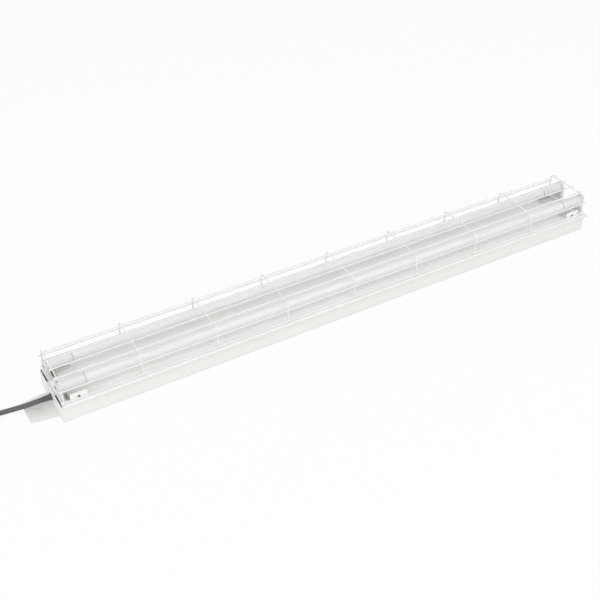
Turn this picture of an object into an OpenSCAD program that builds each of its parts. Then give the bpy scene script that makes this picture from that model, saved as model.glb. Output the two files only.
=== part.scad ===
// Twin-tube batten light with a welded wire guard, a fold-out fixing ear and a rubber flex.
// It lies on its back: +X runs along the tubes, away from the flex, +Z points out of the lamp side,
// and the back face is at Z = 0. Millimetres throughout.

/* [Body] */
// How far the tray runs past the body at the right end
tray_overhang = 11; // [4:0.5:20]
// Width of the body
body_w = 142; // [136:0.5:160]
// Height of the body side walls
body_h = 47; // [42:0.5:60]
// Thickness of the steel sheet of body, end plates and tray
sheet_t = 1.2; // [0.8:0.1:1.5]
// Width of the flanges folded in along the top of the body
flange_w = 12; // [9:0.5:14]
// Length of the end plates' flanges, folded in along the body sides
end_flange_len = 14; // [8:0.5:18]
// Radius of the long bottom edges of the body
body_r = 4; // [3:0.5:8]
// Distance between the two fixing holes in the back
fix_pitch = 1000; // [600:10:1100]
// Diameter of the fixing holes in the back
fix_d = 6.5; // [5:0.5:9]

/* [End ear] */
// Length of the fixing ear beyond the left end plate
ear_len = 63; // [50:0.5:90]
// Width of the ear where it leaves the end plate
ear_root_w = 90; // [60:1:110]
// Width of the ear at its tip
ear_tip_w = 73; // [40:1:85]
// Radius of the two corners at the tip of the ear
ear_r = 4; // [2:0.5:8]
// Length of the slot in the ear, end to end
ear_slot_len = 15; // [10:0.5:24]
// Width of the slot in the ear
ear_slot_w = 6; // [4:0.5:8]
// Distance from the tip of the ear to the middle of its slot
ear_slot_inset = 33; // [22:0.5:40]

/* [Gear tray] */
// How far the tray runs past each end of the tubes
tray_over = 11; // [10.5:0.1:14]
// Gap between the left end plate and the tray
tray_gap = 3; // [1.5:0.5:4]
// Play between each body side and the tray lip
lip_play = 1.8; // [0.6:0.1:3]
// Height of the tray lip, down from the tray's top face
lip_h = 6.2; // [4:0.1:12]
// Length of the two wiring windows at the left end
window_left_len = 10; // [6:1:30]
// Distance from the left lampholders to their wiring windows
window_left_inset = 4.5; // [2:0.5:8]
// Length of the two wiring windows at the right end
window_right_len = 48; // [20:1:80]
// Distance from the right lampholders to their wiring windows
window_right_inset = 11.5; // [2:0.5:16]
// Width of each wiring window
window_w = 25; // [15:0.5:26]
// How far the middle of a wiring window lies outside the axis of its tube
window_offset = 3.5; // [0:0.5:4]
// Distance from the left lampholders to their guard tabs
tab_inset_left = 12; // [6:0.5:20]
// Distance from the right lampholders to their guard tabs
tab_inset_right = 19; // [6:0.5:30]
// How far the guard tabs stand outside the heads of the lampholders
tab_margin = 8.5; // [6:0.1:9]
// Width of the guard tabs, which are cut and bent up from the tray
tab_w = 39; // [24:0.5:42]
// Height of the guard tabs above the tray
tab_h = 19.4; // [14:0.1:24]
// Diameter of the hole in each guard tab
tab_hole_d = 6; // [4:0.5:8]
// Height of the tab holes above the tray
tab_hole_rise = 7; // [5:0.5:9]
// Length of the saddle plates between the tubes, one at each end
saddle_len = 48; // [40:1:70]
// Width of the saddle plates
saddle_w = 54; // [40:1:58]
// Length across the tray of the wiring slot in the saddle plates
saddle_slot_len = 25; // [15:1:30]
// Width of the wiring slot along the tray
saddle_slot_w = 6; // [4:0.5:8]
// Distance from the outer edge of a saddle plate to its wiring slot
saddle_slot_inset = 5; // [3:0.5:10]

/* [Lamps] */
// Length of a tube over the faces of its end caps
tube_len = 1500; // [1470:0.5:1502]
// Diameter of the tubes
tube_d = 26; // [22:0.1:26.5]
// Wall of the tubes
tube_wall = 1.2; // [0.8:0.1:2]
// Distance between the axes of the two tubes
tube_pitch = 80; // [72:0.5:86]
// Height of the tube axes above the tray
tube_rise = 32.4; // [28:0.1:34]
// How far the middle of the tubes lies to the left of the tray's middle
lamp_shift = 1.5; // [0:0.1:2]
// Length of the end caps of the tubes
cap_len = 50; // [15:1:70]
// Wall of the end caps round the tube
cap_wall = 0.65; // [0.4:0.05:1]
// Length of the contact pins
pin_len = 6.4; // [5:0.1:6.6]
// Diameter of the contact pins
pin_d = 2.35; // [2:0.05:2.6]
// Distance between the two contact pins of a cap
pin_pitch = 12.7; // [10:0.1:13]
// Width of the lamp circuit board
board_w = 16; // [10:0.5:18]
// Distance between lamp chips along the board
chip_pitch = 30; // [15:1:60]

/* [Lampholders] */
// Thickness of a lampholder along the tube
holder_t = 9.5; // [9:0.1:10.4]
// Radius of the round head of a lampholder
holder_r = 14.5; // [13:0.1:16]
// How far the foot of a lampholder is wider than its head, on each side
foot_step = 2; // [0.5:0.5:4]
// Height of the foot of a lampholder
foot_h = 5; // [3:0.5:10]
// Play between a lampholder and the cap that it holds
holder_play = 0.4; // [0.3:0.05:0.6]
// Diameter of the turning contact rotor
rotor_d = 17.6; // [16.8:0.1:19]
// Depth of the rotor in the lampholder
rotor_depth = 7; // [6.8:0.1:7.2]
// Diameter of the rotor's spindle, which shows on the outer face
spindle_d = 4.8; // [3.5:0.1:6]
// Radial running play of the rotor and of its spindle
rotor_play = 0.08; // [0.05:0.01:0.1]
// Width of the entry slot for the pins
pin_slot_w = 3; // [2.9:0.1:3.6]

/* [Guard] */
// Diameter of the guard wires
wire_d = 3; // [2.5:0.1:3.5]
// Width of the hoops, between wire centres
hoop_w = 134; // [130:0.5:140]
// Height of the hoops' top wire above the tray, to its centre
hoop_rise = 61.8; // [56:0.1:80]
// Bend radius of the hoops, to the wire's centre
hoop_r = 10; // [5:0.5:20]
// Number of hoops
hoop_count = 9; // [6:1:12]
// Distance from the left end of the tray to the first hoop
hoop_inset = 5; // [2:0.5:12]
// Distance from the last hoop to the right end of the tray
hoop_end_inset = 19.5; // [16:0.5:60]
// How far the long wires run past the end hoops
wire_stub = 7.4; // [3:0.1:8]
// Distance between the two inner top wires
top_inner_pitch = 32.6; // [20:0.1:40]
// Distance between the two outer top wires
top_outer_pitch = 97.6; // [80:0.1:106]
// Height of the upper side wires above the tray
side_high_rise = 40; // [20:0.1:48]
// Height of the lower side wires above the tray
side_low_rise = 8; // [5:0.1:12]
// Gap between crossing wires, filled by the weld
weld_gap = 0.05; // [0.03:0.01:0.1]

/* [Wiring] */
// Diameter of the flex
cable_d = 11.5; // [9:0.1:11.7]
// Sideways place of the flex where it leaves the end plate
cable_y = 4; // [0:0.5:8]
// Height of the flex where it leaves the end plate
cable_z = 20; // [16:0.5:24]
// Length of the tapered sleeve outside the end plate
sleeve_len = 22; // [20:0.5:24]
// Wall of the sleeve at its narrow end
sleeve_wall = 0.5; // [0.4:0.1:1]
// Wall of the sleeve at the end plate
sleeve_root_wall = 1.6; // [1.2:0.1:2.5]
// How far the grommet's rims stand out past its neck
grommet_lip = 1.5; // [1:0.1:3]
// Thickness of the grommet's rims
grommet_rim_t = 1.8; // [1:0.1:3]
// Length of sheathed flex inside the body
tail_len = 46; // [36:1:60]
// Distance from the end plate to the cord clamp
clamp_inset = 20; // [18:1:30]
// Length of the cord clamp along the flex
clamp_len = 12; // [8:0.5:15]
// Width of the cord clamp
clamp_w = 30; // [26:0.5:36]
// Thickness of the clamp bar over the flex
clamp_bar_t = 4; // [2:0.5:6]
// Length of the bare cores between the flex and the terminal block
core_run = 26; // [22:1:40]
// Diameter of a core over its insulation
core_d = 2.6; // [2:0.1:3]
// Number of poles of the terminal block
pole_count = 3; // [3:1:5]
// Distance between the poles
pole_pitch = 9; // [8:0.5:11]
// Length of the terminal block
block_len = 22; // [18:0.5:30]
// Height of the terminal block
block_h = 16; // [12:0.5:20]
// Distance from the terminal block to the earth stud
earth_run = 24; // [20:1:40]
// Diameter of the earth stud
stud_d = 4; // [3:0.5:5]
// Height of the earth stud above the body's floor
stud_h = 13; // [10:0.5:16]

/* [Flex outside] */
// Radius of the outermost turn of the stored coil
coil_outer_r = 74; // [74:0.5:78]
// Distance between neighbouring turns and layers
turn_pitch = 12.1; // [12:0.1:12.4]
// Largest diameter of the plug body
plug_d = 36; // [30:0.5:36]
// Length of the plug body with its tapered neck
plug_len = 62; // [55:0.5:66]
// Diameter of the plug pins
plug_pin_d = 4.8; // [4:0.1:5]
// Length of the plug pins
plug_pin_len = 19; // [15:0.5:20]
// Distance between the plug pins
plug_pin_pitch = 19; // [18:0.5:20]

/* [Hidden] */

paint = [0.93, 0.93, 0.92];
plastic = [0.95, 0.95, 0.94];
opal = [0.97, 0.97, 0.96];
rubber = [0.2, 0.2, 0.2];
dark = [0.25, 0.25, 0.26];
steel = [0.7, 0.7, 0.72];
brass = [0.8, 0.66, 0.36];

// X is counted from the middle of the tray, then everything is moved so that the light itself,
// without its flex, is centred on the origin.
tray_len = tube_len + 2 * tray_over;
tray_right = tray_len / 2;
tray_left = -tray_len / 2;
body_left = tray_left - tray_gap - sheet_t;
body_right = tray_right - tray_overhang;
body_len = body_right - body_left;
body_mid = (body_left + body_right) / 2;
ear_tip = body_left - ear_len;
frame_shift = -(ear_tip + tray_right) / 2;

tray_top = body_h + sheet_t;
tray_w = body_w + 2 * (lip_play + sheet_t);
axis_z = tray_top + tube_rise;
lamp_left = -lamp_shift - tube_len / 2;
lamp_right = -lamp_shift + tube_len / 2;
face_left = lamp_left - holder_play;
face_right = lamp_right + holder_play;
strip_gap = 1;
strip_left = face_left + strip_gap;
strip_right = face_right - strip_gap;
slot_left = strip_left + saddle_slot_inset;
slot_right = strip_right - saddle_slot_inset - saddle_slot_w;
window_mid = tube_pitch / 2 + window_offset;
window_x_left = face_left + window_left_inset;
window_x_right = face_right - window_right_inset - window_right_len;
tab_out = tube_pitch / 2 + holder_r + tab_margin;
tab_x_left = face_left + tab_inset_left + tab_w / 2;
tab_x_right = face_right - tab_inset_right - tab_w / 2;
hoop_first = tray_left + hoop_inset;
hoop_last = tray_right - hoop_end_inset;
hoop_pitch = (hoop_last - hoop_first) / (hoop_count - 1);
seat_gap = 0.3;
cut = 1;
fit = 0.1;
round_fn = 64;
wire_fn = 24;

module in_frame() {
    translate([frame_shift, 0, 0]) children();
}

// A profile drawn in the YZ plane, pulled along X from x0 over a length.
module along_x(x0, length) {
    translate([x0, 0, 0]) rotate([90, 0, 90]) linear_extrude(length) children();
}

module rod_x(x0, length, d, fn = wire_fn) {
    translate([x0, 0, 0]) rotate([0, 90, 0]) cylinder(d = d, h = length, $fn = fn);
}

// Rectangle standing on the Y axis whose two bottom corners are round.
module trough_outline(w, h, r) {
    translate([-w / 2, r]) square([w, h - r]);
    translate([-w / 2 + r, 0]) square([w - 2 * r, r]);
    for (s = [-1, 1]) translate([s * (w / 2 - r), r]) circle(r = r, $fn = 48);
}

// Sheet metal

module body_channel() {
    inner_r = body_r - sheet_t;
    color(paint) in_frame() difference() {
        along_x(body_left + sheet_t, body_len - 2 * sheet_t) difference() {
            trough_outline(body_w, body_h, body_r);
            translate([0, sheet_t])
                trough_outline(body_w - 2 * sheet_t, body_h - 2 * sheet_t, inner_r);
            translate([-body_w / 2 + flange_w, body_h / 2]) square([body_w - 2 * flange_w, body_h]);
        }
        for (s = [-1, 1])
            translate([body_mid + s * fix_pitch / 2, 0, -cut])
                cylinder(d = fix_d, h = sheet_t + 2 * cut, $fn = round_fn);
    }
}

module end_wall(x0) {
    along_x(x0, sheet_t) trough_outline(body_w, body_h, body_r);
}

// Flanges of an end plate, folded in against the inside of the body's two side walls.
module end_flanges(x0) {
    flange_h = body_h - 2 * (body_r + sheet_t);
    for (s = [-1, 1])
        translate([x0, s * (body_w / 2 - sheet_t * 1.5 - fit) - sheet_t / 2, body_r + sheet_t])
            cube([end_flange_len, sheet_t, flange_h]);
}

module ear_outline() {
    tip = ear_len - ear_r;
    polygon([[0, -ear_root_w / 2], [0, ear_root_w / 2],
             [tip, ear_tip_w / 2 + (ear_root_w - ear_tip_w) / 2 * ear_r / ear_len],
             [tip, -ear_tip_w / 2 - (ear_root_w - ear_tip_w) / 2 * ear_r / ear_len]]);
    translate([tip - cut, -ear_tip_w / 2 + ear_r]) square([ear_r + cut, ear_tip_w - 2 * ear_r]);
    for (s = [-1, 1]) translate([tip, s * (ear_tip_w / 2 - ear_r)]) circle(r = ear_r, $fn = 32);
}

module end_plate_left() {
    slot_straight = ear_slot_len - ear_slot_w;
    color(paint) in_frame() difference() {
        union() {
            end_wall(body_left);
            end_flanges(body_left + sheet_t);
            translate([body_left, 0, 0]) mirror([1, 0, 0]) linear_extrude(sheet_t) ear_outline();
        }
        translate([body_left - cut, cable_y, cable_z])
            rod_x(0, sheet_t + 2 * cut, grommet_neck_d + 2 * fit, round_fn);
        translate([ear_tip + ear_slot_inset, 0, -cut]) {
            for (s = [-1, 1])
                translate([s * slot_straight / 2, 0, 0])
                    cylinder(d = ear_slot_w, h = sheet_t + 2 * cut, $fn = round_fn);
            translate([-slot_straight / 2, -ear_slot_w / 2, 0])
                cube([slot_straight, ear_slot_w, sheet_t + 2 * cut]);
        }
    }
}

module end_plate_right() {
    color(paint) in_frame() union() {
        end_wall(body_right - sheet_t);
        end_flanges(body_right - sheet_t - end_flange_len);
    }
}

// Wiring window under a tube.
module window(x0, length, side) {
    translate([x0, side * window_mid - window_w / 2, body_h - cut])
        cube([length, window_w, sheet_t + 2 * cut]);
}

// Hole that a guard tab leaves in the tray when it is bent up.
module tab_window(x_mid, side) {
    y0 = side > 0 ? tab_out - tab_h : -tab_out;
    translate([x_mid - tab_w / 2, y0, body_h - cut]) cube([tab_w, tab_h, sheet_t + 2 * cut]);
}

// Guard tab, standing at the outer edge of its hole.
module guard_tab(x_mid, side) {
    y0 = side > 0 ? tab_out : -tab_out - sheet_t;
    translate([x_mid, y0, tray_top]) difference() {
        translate([-tab_w / 2, 0, 0]) cube([tab_w, sheet_t, tab_h]);
        translate([0, -cut, tab_hole_rise]) rotate([-90, 0, 0])
            cylinder(d = tab_hole_d, h = sheet_t + 2 * cut, $fn = round_fn);
    }
}

module gear_tray() {
    lead_hole = [5, 9];
    color(paint) in_frame() {
        difference() {
            union() {
                translate([tray_left, -tray_w / 2, body_h]) cube([tray_len, tray_w, sheet_t]);
                for (s = [-1, 1])
                    translate([tray_left, s * (tray_w - sheet_t) / 2 - sheet_t / 2, tray_top - lip_h])
                        cube([tray_len, sheet_t, lip_h]);
                translate([tray_right - sheet_t, -tray_w / 2, tray_top - lip_h])
                    cube([sheet_t, tray_w, lip_h]);
            }
            for (s = [-1, 1]) {
                window(window_x_left, window_left_len, s);
                window(window_x_right, window_right_len, s);
                for (x = [tab_x_left, tab_x_right]) tab_window(x, s);
                for (x = [face_left - holder_t / 2, face_right + holder_t / 2])
                    translate([x - lead_hole[0] / 2, s * tube_pitch / 2 - lead_hole[1] / 2, body_h - cut])
                        cube([lead_hole[0], lead_hole[1], sheet_t + 2 * cut]);
            }
            for (x = [slot_left, slot_right])
                translate([x, -saddle_slot_len / 2, body_h - cut])
                    cube([saddle_slot_w, saddle_slot_len, sheet_t + 2 * cut]);
        }
        for (s = [-1, 1]) for (x = [tab_x_left, tab_x_right]) guard_tab(x, s);
    }
}

// Saddle plate on the tray between the two lampholders of an end, with a wiring slot.
module saddle(x0, slot_x) {
    color(plastic) in_frame() difference() {
        translate([x0, -saddle_w / 2, tray_top]) cube([saddle_len, saddle_w, sheet_t]);
        translate([slot_x, -saddle_slot_len / 2, tray_top - cut])
            cube([saddle_slot_w, saddle_slot_len, sheet_t + 2 * cut]);
    }
}

module saddle_left() {
    saddle(strip_left, slot_left);
}

module saddle_right() {
    saddle(strip_right - saddle_len, slot_right);
}

// Lampholders. Each is drawn for the right end of a tube on the X axis, with its inner face at x = 0,
// and the left ones are its mirror image.

module at_holder(side, end) {
    in_frame()
        translate([end > 0 ? face_right : face_left, side * tube_pitch / 2, axis_z])
            mirror([end > 0 ? 0 : 1, 0, 0]) children();
}

module lampholder(side, end) {
    foot_w = 2 * (holder_r + foot_step);
    color(plastic) at_holder(side, end) difference() {
        union() {
            rod_x(0, holder_t, 2 * holder_r, 96);
            translate([0, -holder_r, -tube_rise]) cube([holder_t, 2 * holder_r, tube_rise]);
            translate([0, -foot_w / 2, -tube_rise]) cube([holder_t, foot_w, foot_h]);
        }
        rod_x(-cut, rotor_depth + fit + cut, rotor_d + 2 * rotor_play, 96);
        rod_x(0, holder_t + cut, spindle_d + 2 * rotor_play, round_fn);
        translate([-cut, -pin_slot_w / 2, 0])
            cube([rotor_depth + fit + cut, pin_slot_w, holder_r + cut]);
    }
}

// The rotor takes both pins in its slot, which ends just past their tips, and turns with the tube.
module rotor(side, end) {
    slot_depth = pin_len - holder_play + seat_gap;
    color(dark) at_holder(side, end) union() {
        difference() {
            rod_x(0, rotor_depth, rotor_d, 96);
            translate([-cut, -rotor_d / 2 - cut, -pin_slot_w / 2])
                cube([slot_depth + cut, rotor_d + 2 * cut, pin_slot_w]);
        }
        rod_x(rotor_depth - fit, holder_t - rotor_depth + fit, spindle_d, round_fn);
    }
}

// Lamps

module at_lamp(side) {
    in_frame() translate([0, side * tube_pitch / 2, axis_z]) children();
}

cap_end = 2;

module tube(side) {
    x0 = lamp_left + cap_end;
    length = tube_len - 2 * cap_end;
    color(opal) at_lamp(side) difference() {
        rod_x(x0, length, tube_d, 96);
        rod_x(x0 - cut, length + 2 * cut, tube_d - 2 * tube_wall, 96);
    }
}

// End cap: a cup over the end of the tube with a small chamfer round its face.
module cap(side, end) {
    r_out = tube_d / 2 + fit + cap_wall;
    r_in = tube_d / 2 + fit;
    chamfer = 0.6;
    color(plastic) at_lamp(side)
        translate([end > 0 ? lamp_right : lamp_left, 0, 0])
            rotate([0, end > 0 ? -90 : 90, 0])
                rotate_extrude($fn = 96)
                    polygon([[0, 0], [r_out - chamfer, 0], [r_out, chamfer], [r_out, cap_len],
                             [r_in, cap_len], [r_in, cap_end], [0, cap_end]]);
}

// Contact pins of both ends of a tube.
module pins(side) {
    color(brass) at_lamp(side)
        for (s = [-1, 1]) translate([0, s * pin_pitch / 2, 0]) {
            rod_x(lamp_left - pin_len, pin_len, pin_d, 32);
            rod_x(lamp_right, pin_len, pin_d, 32);
        }
}

// Circuit board with its row of lamp chips, lying as a chord low inside the tube.
module board(side) {
    board_t = 1;
    margin = 40;
    r_in = tube_d / 2 - tube_wall - fit;
    z0 = -sqrt(r_in * r_in - board_w * board_w / 4);
    length = tube_len - 2 * margin;
    chips = floor(length / chip_pitch) - 1;
    chip = [3.5, 2.8, 0.8];
    first = -lamp_shift - (chips - 1) * chip_pitch / 2;
    color(plastic) at_lamp(side) union() {
        translate([lamp_left + margin, -board_w / 2, z0]) cube([length, board_w, board_t]);
        for (i = [0 : chips - 1])
            translate([first + i * chip_pitch - chip[0] / 2, -chip[1] / 2, z0 + board_t])
                cube(chip);
    }
}

// Guard

// One hoop: two legs standing on the tray, two bends and a top wire.
module guard_hoop(i) {
    x = hoop_first + (i - 1) * hoop_pitch;
    foot_z = tray_top + seat_gap;
    top_z = tray_top + hoop_rise;
    half = hoop_w / 2;
    color(paint) in_frame() translate([x, 0, 0]) union() {
        translate([0, -half + hoop_r, top_z]) rotate([-90, 0, 0])
            cylinder(d = wire_d, h = hoop_w - 2 * hoop_r, $fn = wire_fn);
        for (s = [-1, 1]) {
            translate([0, s * half, foot_z])
                cylinder(d = wire_d, h = top_z - hoop_r - foot_z, $fn = wire_fn);
            translate([0, s * (half - hoop_r), top_z - hoop_r])
                rotate([0, 90, 0]) rotate([0, 0, s > 0 ? 90 : 180])
                    rotate_extrude(angle = 90, $fn = 64)
                        translate([hoop_r, 0]) circle(d = wire_d, $fn = wire_fn);
        }
    }
}

wire_x0 = hoop_first - wire_stub;
wire_span = hoop_last - hoop_first + 2 * wire_stub;

module guard_top_wires() {
    z = tray_top + hoop_rise + wire_d + weld_gap;
    color(paint) in_frame()
        for (s = [-1, 1]) for (p = [top_inner_pitch, top_outer_pitch])
            translate([0, s * p / 2, z]) rod_x(wire_x0, wire_span, wire_d);
}

module guard_side_wires(side) {
    y = side * (hoop_w / 2 + wire_d + weld_gap);
    color(paint) in_frame()
        for (rise = [side_low_rise, side_high_rise])
            translate([0, y, tray_top + rise]) rod_x(wire_x0, wire_span, wire_d);
}

// Flex entry and wiring

grommet_neck_d = cable_d + 2 * sleeve_root_wall;

// Rubber grommet with a groove for the end plate and a tapered sleeve on the outside.
module grommet() {
    bore_r = cable_d / 2 + fit / 2;
    r_neck = grommet_neck_d / 2;
    r_rim = r_neck + grommet_lip;
    r_tip = bore_r + sleeve_wall;
    color(rubber) in_frame()
        translate([body_left, cable_y, cable_z]) rotate([0, -90, 0])
            rotate_extrude($fn = 96)
                polygon([[bore_r, -sheet_t - grommet_rim_t], [r_rim, -sheet_t - grommet_rim_t],
                         [r_rim, -sheet_t], [r_neck, -sheet_t], [r_neck, 0],
                         [r_rim, 0], [r_rim, grommet_rim_t], [r_neck, grommet_rim_t],
                         [r_tip, sleeve_len], [bore_r, sleeve_len]]);
}

// The sheathed flex from the sleeve's narrow end into the body.
module cable_tail() {
    color(rubber) in_frame()
        translate([0, cable_y, cable_z])
            rod_x(body_left - sleeve_len, sleeve_len + sheet_t + tail_len, cable_d, 64);
}

clamp_x = body_left + sheet_t + clamp_inset;
clamp_parting = 1;
clamp_top = cable_z + cable_d / 2 + clamp_bar_t;
clamp_screw_d = 7;
driver_slot_w = 0.8;

// Round screw head with a driver slot across it.
module screw_head(d, h) {
    difference() {
        cylinder(d = d, h = h, $fn = 32);
        translate([-d, -driver_slot_w / 2, h - cut]) cube([2 * d, driver_slot_w, 2 * cut]);
    }
}

module clamp_base() {
    h = cable_z - sheet_t - clamp_parting;
    color(plastic) in_frame() difference() {
        translate([clamp_x, cable_y - clamp_w / 2, sheet_t]) cube([clamp_len, clamp_w, h]);
        translate([0, cable_y, cable_z])
            rod_x(clamp_x - cut, clamp_len + 2 * cut, cable_d + fit, 64);
    }
}

module clamp_bar() {
    z = cable_z + clamp_parting;
    color(plastic) in_frame() difference() {
        translate([clamp_x, cable_y - clamp_w / 2, z])
            cube([clamp_len, clamp_w, clamp_top - z]);
        translate([0, cable_y, cable_z])
            rod_x(clamp_x - cut, clamp_len + 2 * cut, cable_d + fit, 64);
    }
}

// Heads of the two clamp screws, on top of the bar.
module clamp_screws() {
    edge = 0.5;
    y = clamp_w / 2 - clamp_screw_d / 2 - edge;
    color(steel) in_frame()
        for (s = [-1, 1])
            translate([clamp_x + clamp_len / 2, cable_y + s * y, clamp_top])
                screw_head(clamp_screw_d, 2.2);
}

tail_end = body_left + sheet_t + tail_len;
block_x = tail_end + core_run;
block_side = 1.5;
block_w = pole_count * pole_pitch + 2 * block_side;
well_inset = 5;
well_depth = 4;
well_d = 5;

function pole_y(i) = (i - (pole_count - 1) / 2) * pole_pitch;

// Two screw wells of every pole.
module at_wells() {
    for (i = [0 : pole_count - 1]) for (x = [block_x + well_inset, block_x + block_len - well_inset])
        translate([x, pole_y(i), sheet_t + block_h - well_depth]) children();
}

module terminal_block() {
    groove_w = 1.2;
    groove_depth = 3;
    color(plastic) in_frame() difference() {
        translate([block_x, -block_w / 2, sheet_t]) cube([block_len, block_w, block_h]);
        at_wells() cylinder(d = well_d, h = well_depth + cut, $fn = 32);
        for (i = [1 : pole_count - 1])
            translate([block_x - cut, pole_y(i) - pole_pitch / 2 - groove_w / 2,
                       sheet_t + block_h - groove_depth])
                cube([block_len + 2 * cut, groove_w, groove_depth + cut]);
    }
}

module terminal_screws() {
    color(brass) in_frame() at_wells() screw_head(well_d - 4 * fit, 2.4);
}

earth_x = block_x + block_len + earth_run;
earth_y = -30;
stud_base_d = 2 * stud_d;
stud_base_t = 1.6;
eyelet_z = sheet_t + stud_base_t;
eyelet_t = 0.8;

module earth_stud() {
    color(brass) in_frame()
        translate([earth_x, earth_y, sheet_t]) union() {
            cylinder(d = stud_base_d, h = stud_base_t, $fn = 48);
            cylinder(d = stud_d, h = stud_h, $fn = 48);
        }
}

module earth_nut() {
    nut_t = 0.8 * stud_d;
    color(brass) in_frame()
        translate([earth_x, earth_y, eyelet_z + eyelet_t]) difference() {
            cylinder(d = stud_base_d, h = nut_t, $fn = 6);
            translate([0, 0, -cut]) cylinder(d = stud_d + fit, h = nut_t + 2 * cut, $fn = 48);
        }
}

// Tubes swept along a list of points

function unit(v) = v / norm(v);
function heading(p, i) =
    let (a = max(i - 1, 0), b = min(i + 1, len(p) - 1)) unit(p[b] - p[a]);
function ring(p, i, r, n, ref) =
    let (d = heading(p, i), u = unit(cross(d, ref)), v = cross(u, d))
        [for (k = [0 : n - 1]) p[i] + r * (cos(360 * k / n) * u + sin(360 * k / n) * v)];

// Triangles of the side between ring i and the next, and of both ends.
module swept(p, r, n, ref = [0, 0, 1]) {
    last = len(p) - 1;
    points = [for (i = [0 : last]) each ring(p, i, r, n, ref)];
    side = [for (i = [0 : last - 1]) for (k = [0 : n - 1])
                let (a = i * n + k, b = i * n + (k + 1) % n) each [[a, b, a + n], [b, b + n, a + n]]];
    front = [for (k = [1 : n - 2]) [0, k + 1, k]];
    back = [for (k = [1 : n - 2]) [last * n, last * n + k, last * n + k + 1]];
    polyhedron(points, concat(side, front, back));
}

// The three cores from the end of the sheath to the terminal block.
module cores() {
    straight = 4;
    entry_rise = 6;
    color(dark) in_frame()
        for (i = [-1 : 1])
            let (y0 = cable_y + i * (core_d + seat_gap), y1 = i * pole_pitch, z1 = sheet_t + entry_rise)
                swept([[tail_end, y0, cable_z], [tail_end + straight, y0, cable_z],
                       [tail_end + core_run / 2, (y0 + y1) / 2, (cable_z + z1) / 2],
                       [block_x - straight, y1, z1], [block_x, y1, z1]], core_d / 2, 8, [0, 1, 0]);
}

lead_rise = 4;

// Earth lead from the terminal block to its eyelet under the nut.
module earth_lead() {
    z_run = sheet_t + lead_rise;
    y0 = pole_y(0);
    x0 = block_x + block_len;
    x1 = earth_x - stud_base_d / 2 - fit;
    crimp_rise = 0.6;
    z1 = eyelet_z + eyelet_t / 2 + crimp_rise;
    straight = 4;
    color(dark) in_frame()
        swept([[x0, y0, z_run], [x0 + straight, y0, z_run], [(x0 + x1) / 2, (y0 + earth_y) / 2, z_run],
               [x1 - straight, earth_y, z1], [x1, earth_y, z1]], core_d / 2, 8);
    color(brass) in_frame() translate([earth_x, earth_y, eyelet_z]) difference() {
        cylinder(d = stud_base_d, h = eyelet_t, $fn = 48);
        translate([0, 0, -cut]) cylinder(d = stud_d + fit, h = eyelet_t + 2 * cut, $fn = 48);
    }
}

// Leads from the terminal block back along the floor and up into the two left lampholders.
module lamp_leads() {
    x_end = face_left - holder_t / 2;
    x0 = block_x + block_len / 2;
    y0 = block_w / 2;
    z_run = sheet_t + lead_rise;
    bend = 6;
    color(dark) in_frame()
        for (s = [-1, 1])
            let (y1 = s * tube_pitch / 2)
                swept([[x0, s * y0, z_run], [x0, s * (y0 + bend / 2), z_run],
                       [x0 - bend, s * (y0 + bend), z_run], [x0 - 4 * bend, s * (y0 + 2 * bend), z_run],
                       [x_end + 4 * bend, y1, z_run], [x_end + bend, y1, z_run + bend],
                       [x_end, y1, z_run + 2 * bend], [x_end, y1, tray_top]],
                      core_d / 2, 8, [1, 0, 1]);
}

// Flex outside: out of the sleeve, down to the surface, into a stored coil and on to the plug.

cord_r = cable_d / 2;
lie_z = 6.3;
// Points of the free stretch between the sleeve and the coil, with X counted from the end plate.
cord_route = [
    [-sleeve_len, cable_y, cable_z], [-36, cable_y, cable_z], [-54, 6, 18], [-74, 11, 15],
    [-94, 17, 11.5], [-114, 22.5, 8.6], [-134, 27.6, 6.9], [-154, 32.4, 6.3], [-176, 37.7, 6.3]
];
// Middle of the coil, its first direction and its numbers of turns.
coil_at = [-232, -24];
coil_from = 73;
coil_in_turns = 1.9;
climb_turns = 0.5;
coil_turns = 4 + (180 - coil_from) / 360;
loop_rings = 24;

// Radius and height of the coil's centre line after t turns.
function coil_r(t) =
    let (turn_back = coil_in_turns + climb_turns / 2)
        coil_outer_r - turn_pitch * (t < turn_back ? t : 2 * turn_back - t);
function coil_z(t) =
    lie_z + turn_pitch * min(1, max(0, (t - coil_in_turns) / climb_turns));
function coil_point(t) =
    let (a = coil_from + 360 * t, r = coil_r(t))
        [coil_at[0] + r * cos(a), coil_at[1] + r * sin(a), coil_z(t)];

coil_rings = round(coil_turns * loop_rings);
coil_path = [for (i = [0 : coil_rings]) coil_point(coil_turns * i / coil_rings)];
coil_in_dir = [sin(coil_from), -cos(coil_from), 0];
coil_start = coil_path[0] + cable_d * coil_in_dir;
coil_stop = coil_path[coil_rings] + [0, -cable_d, 0];

// Everything outside the sleeve is placed from the end plate's outer face.
module at_end_plate() {
    in_frame() translate([body_left, 0, 0]) children();
}

module cord() {
    color(rubber) at_end_plate() swept(concat(cord_route, [coil_start]), cord_r, 12);
}

module cord_coil() {
    color(rubber) at_end_plate() swept(concat([coil_start], coil_path, [coil_stop]), cord_r, 6);
}

// Least gap between passes of the coil that lie at least a third of a turn apart.
coil_gap = min([for (i = [0 : coil_rings]) for (j = [i + loop_rings / 3 : coil_rings])
                    norm(coil_path[i] - coil_path[j])]) - cable_d;
echo(coil_gap = coil_gap);

plug_gap = 30;
plug_rear = coil_stop + [0, -plug_gap, plug_d / 2 + fit - coil_stop[2]];

module cord_end() {
    run = plug_rear[1] - coil_stop[1];
    rise = plug_rear[2] - coil_stop[2];
    color(rubber) at_end_plate()
        swept([coil_stop, coil_stop + [0, run * 0.2, 0], coil_stop + [0, run * 0.5, rise / 2],
               coil_stop + [0, run * 0.8, rise], plug_rear], cord_r, 12);
}

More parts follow.
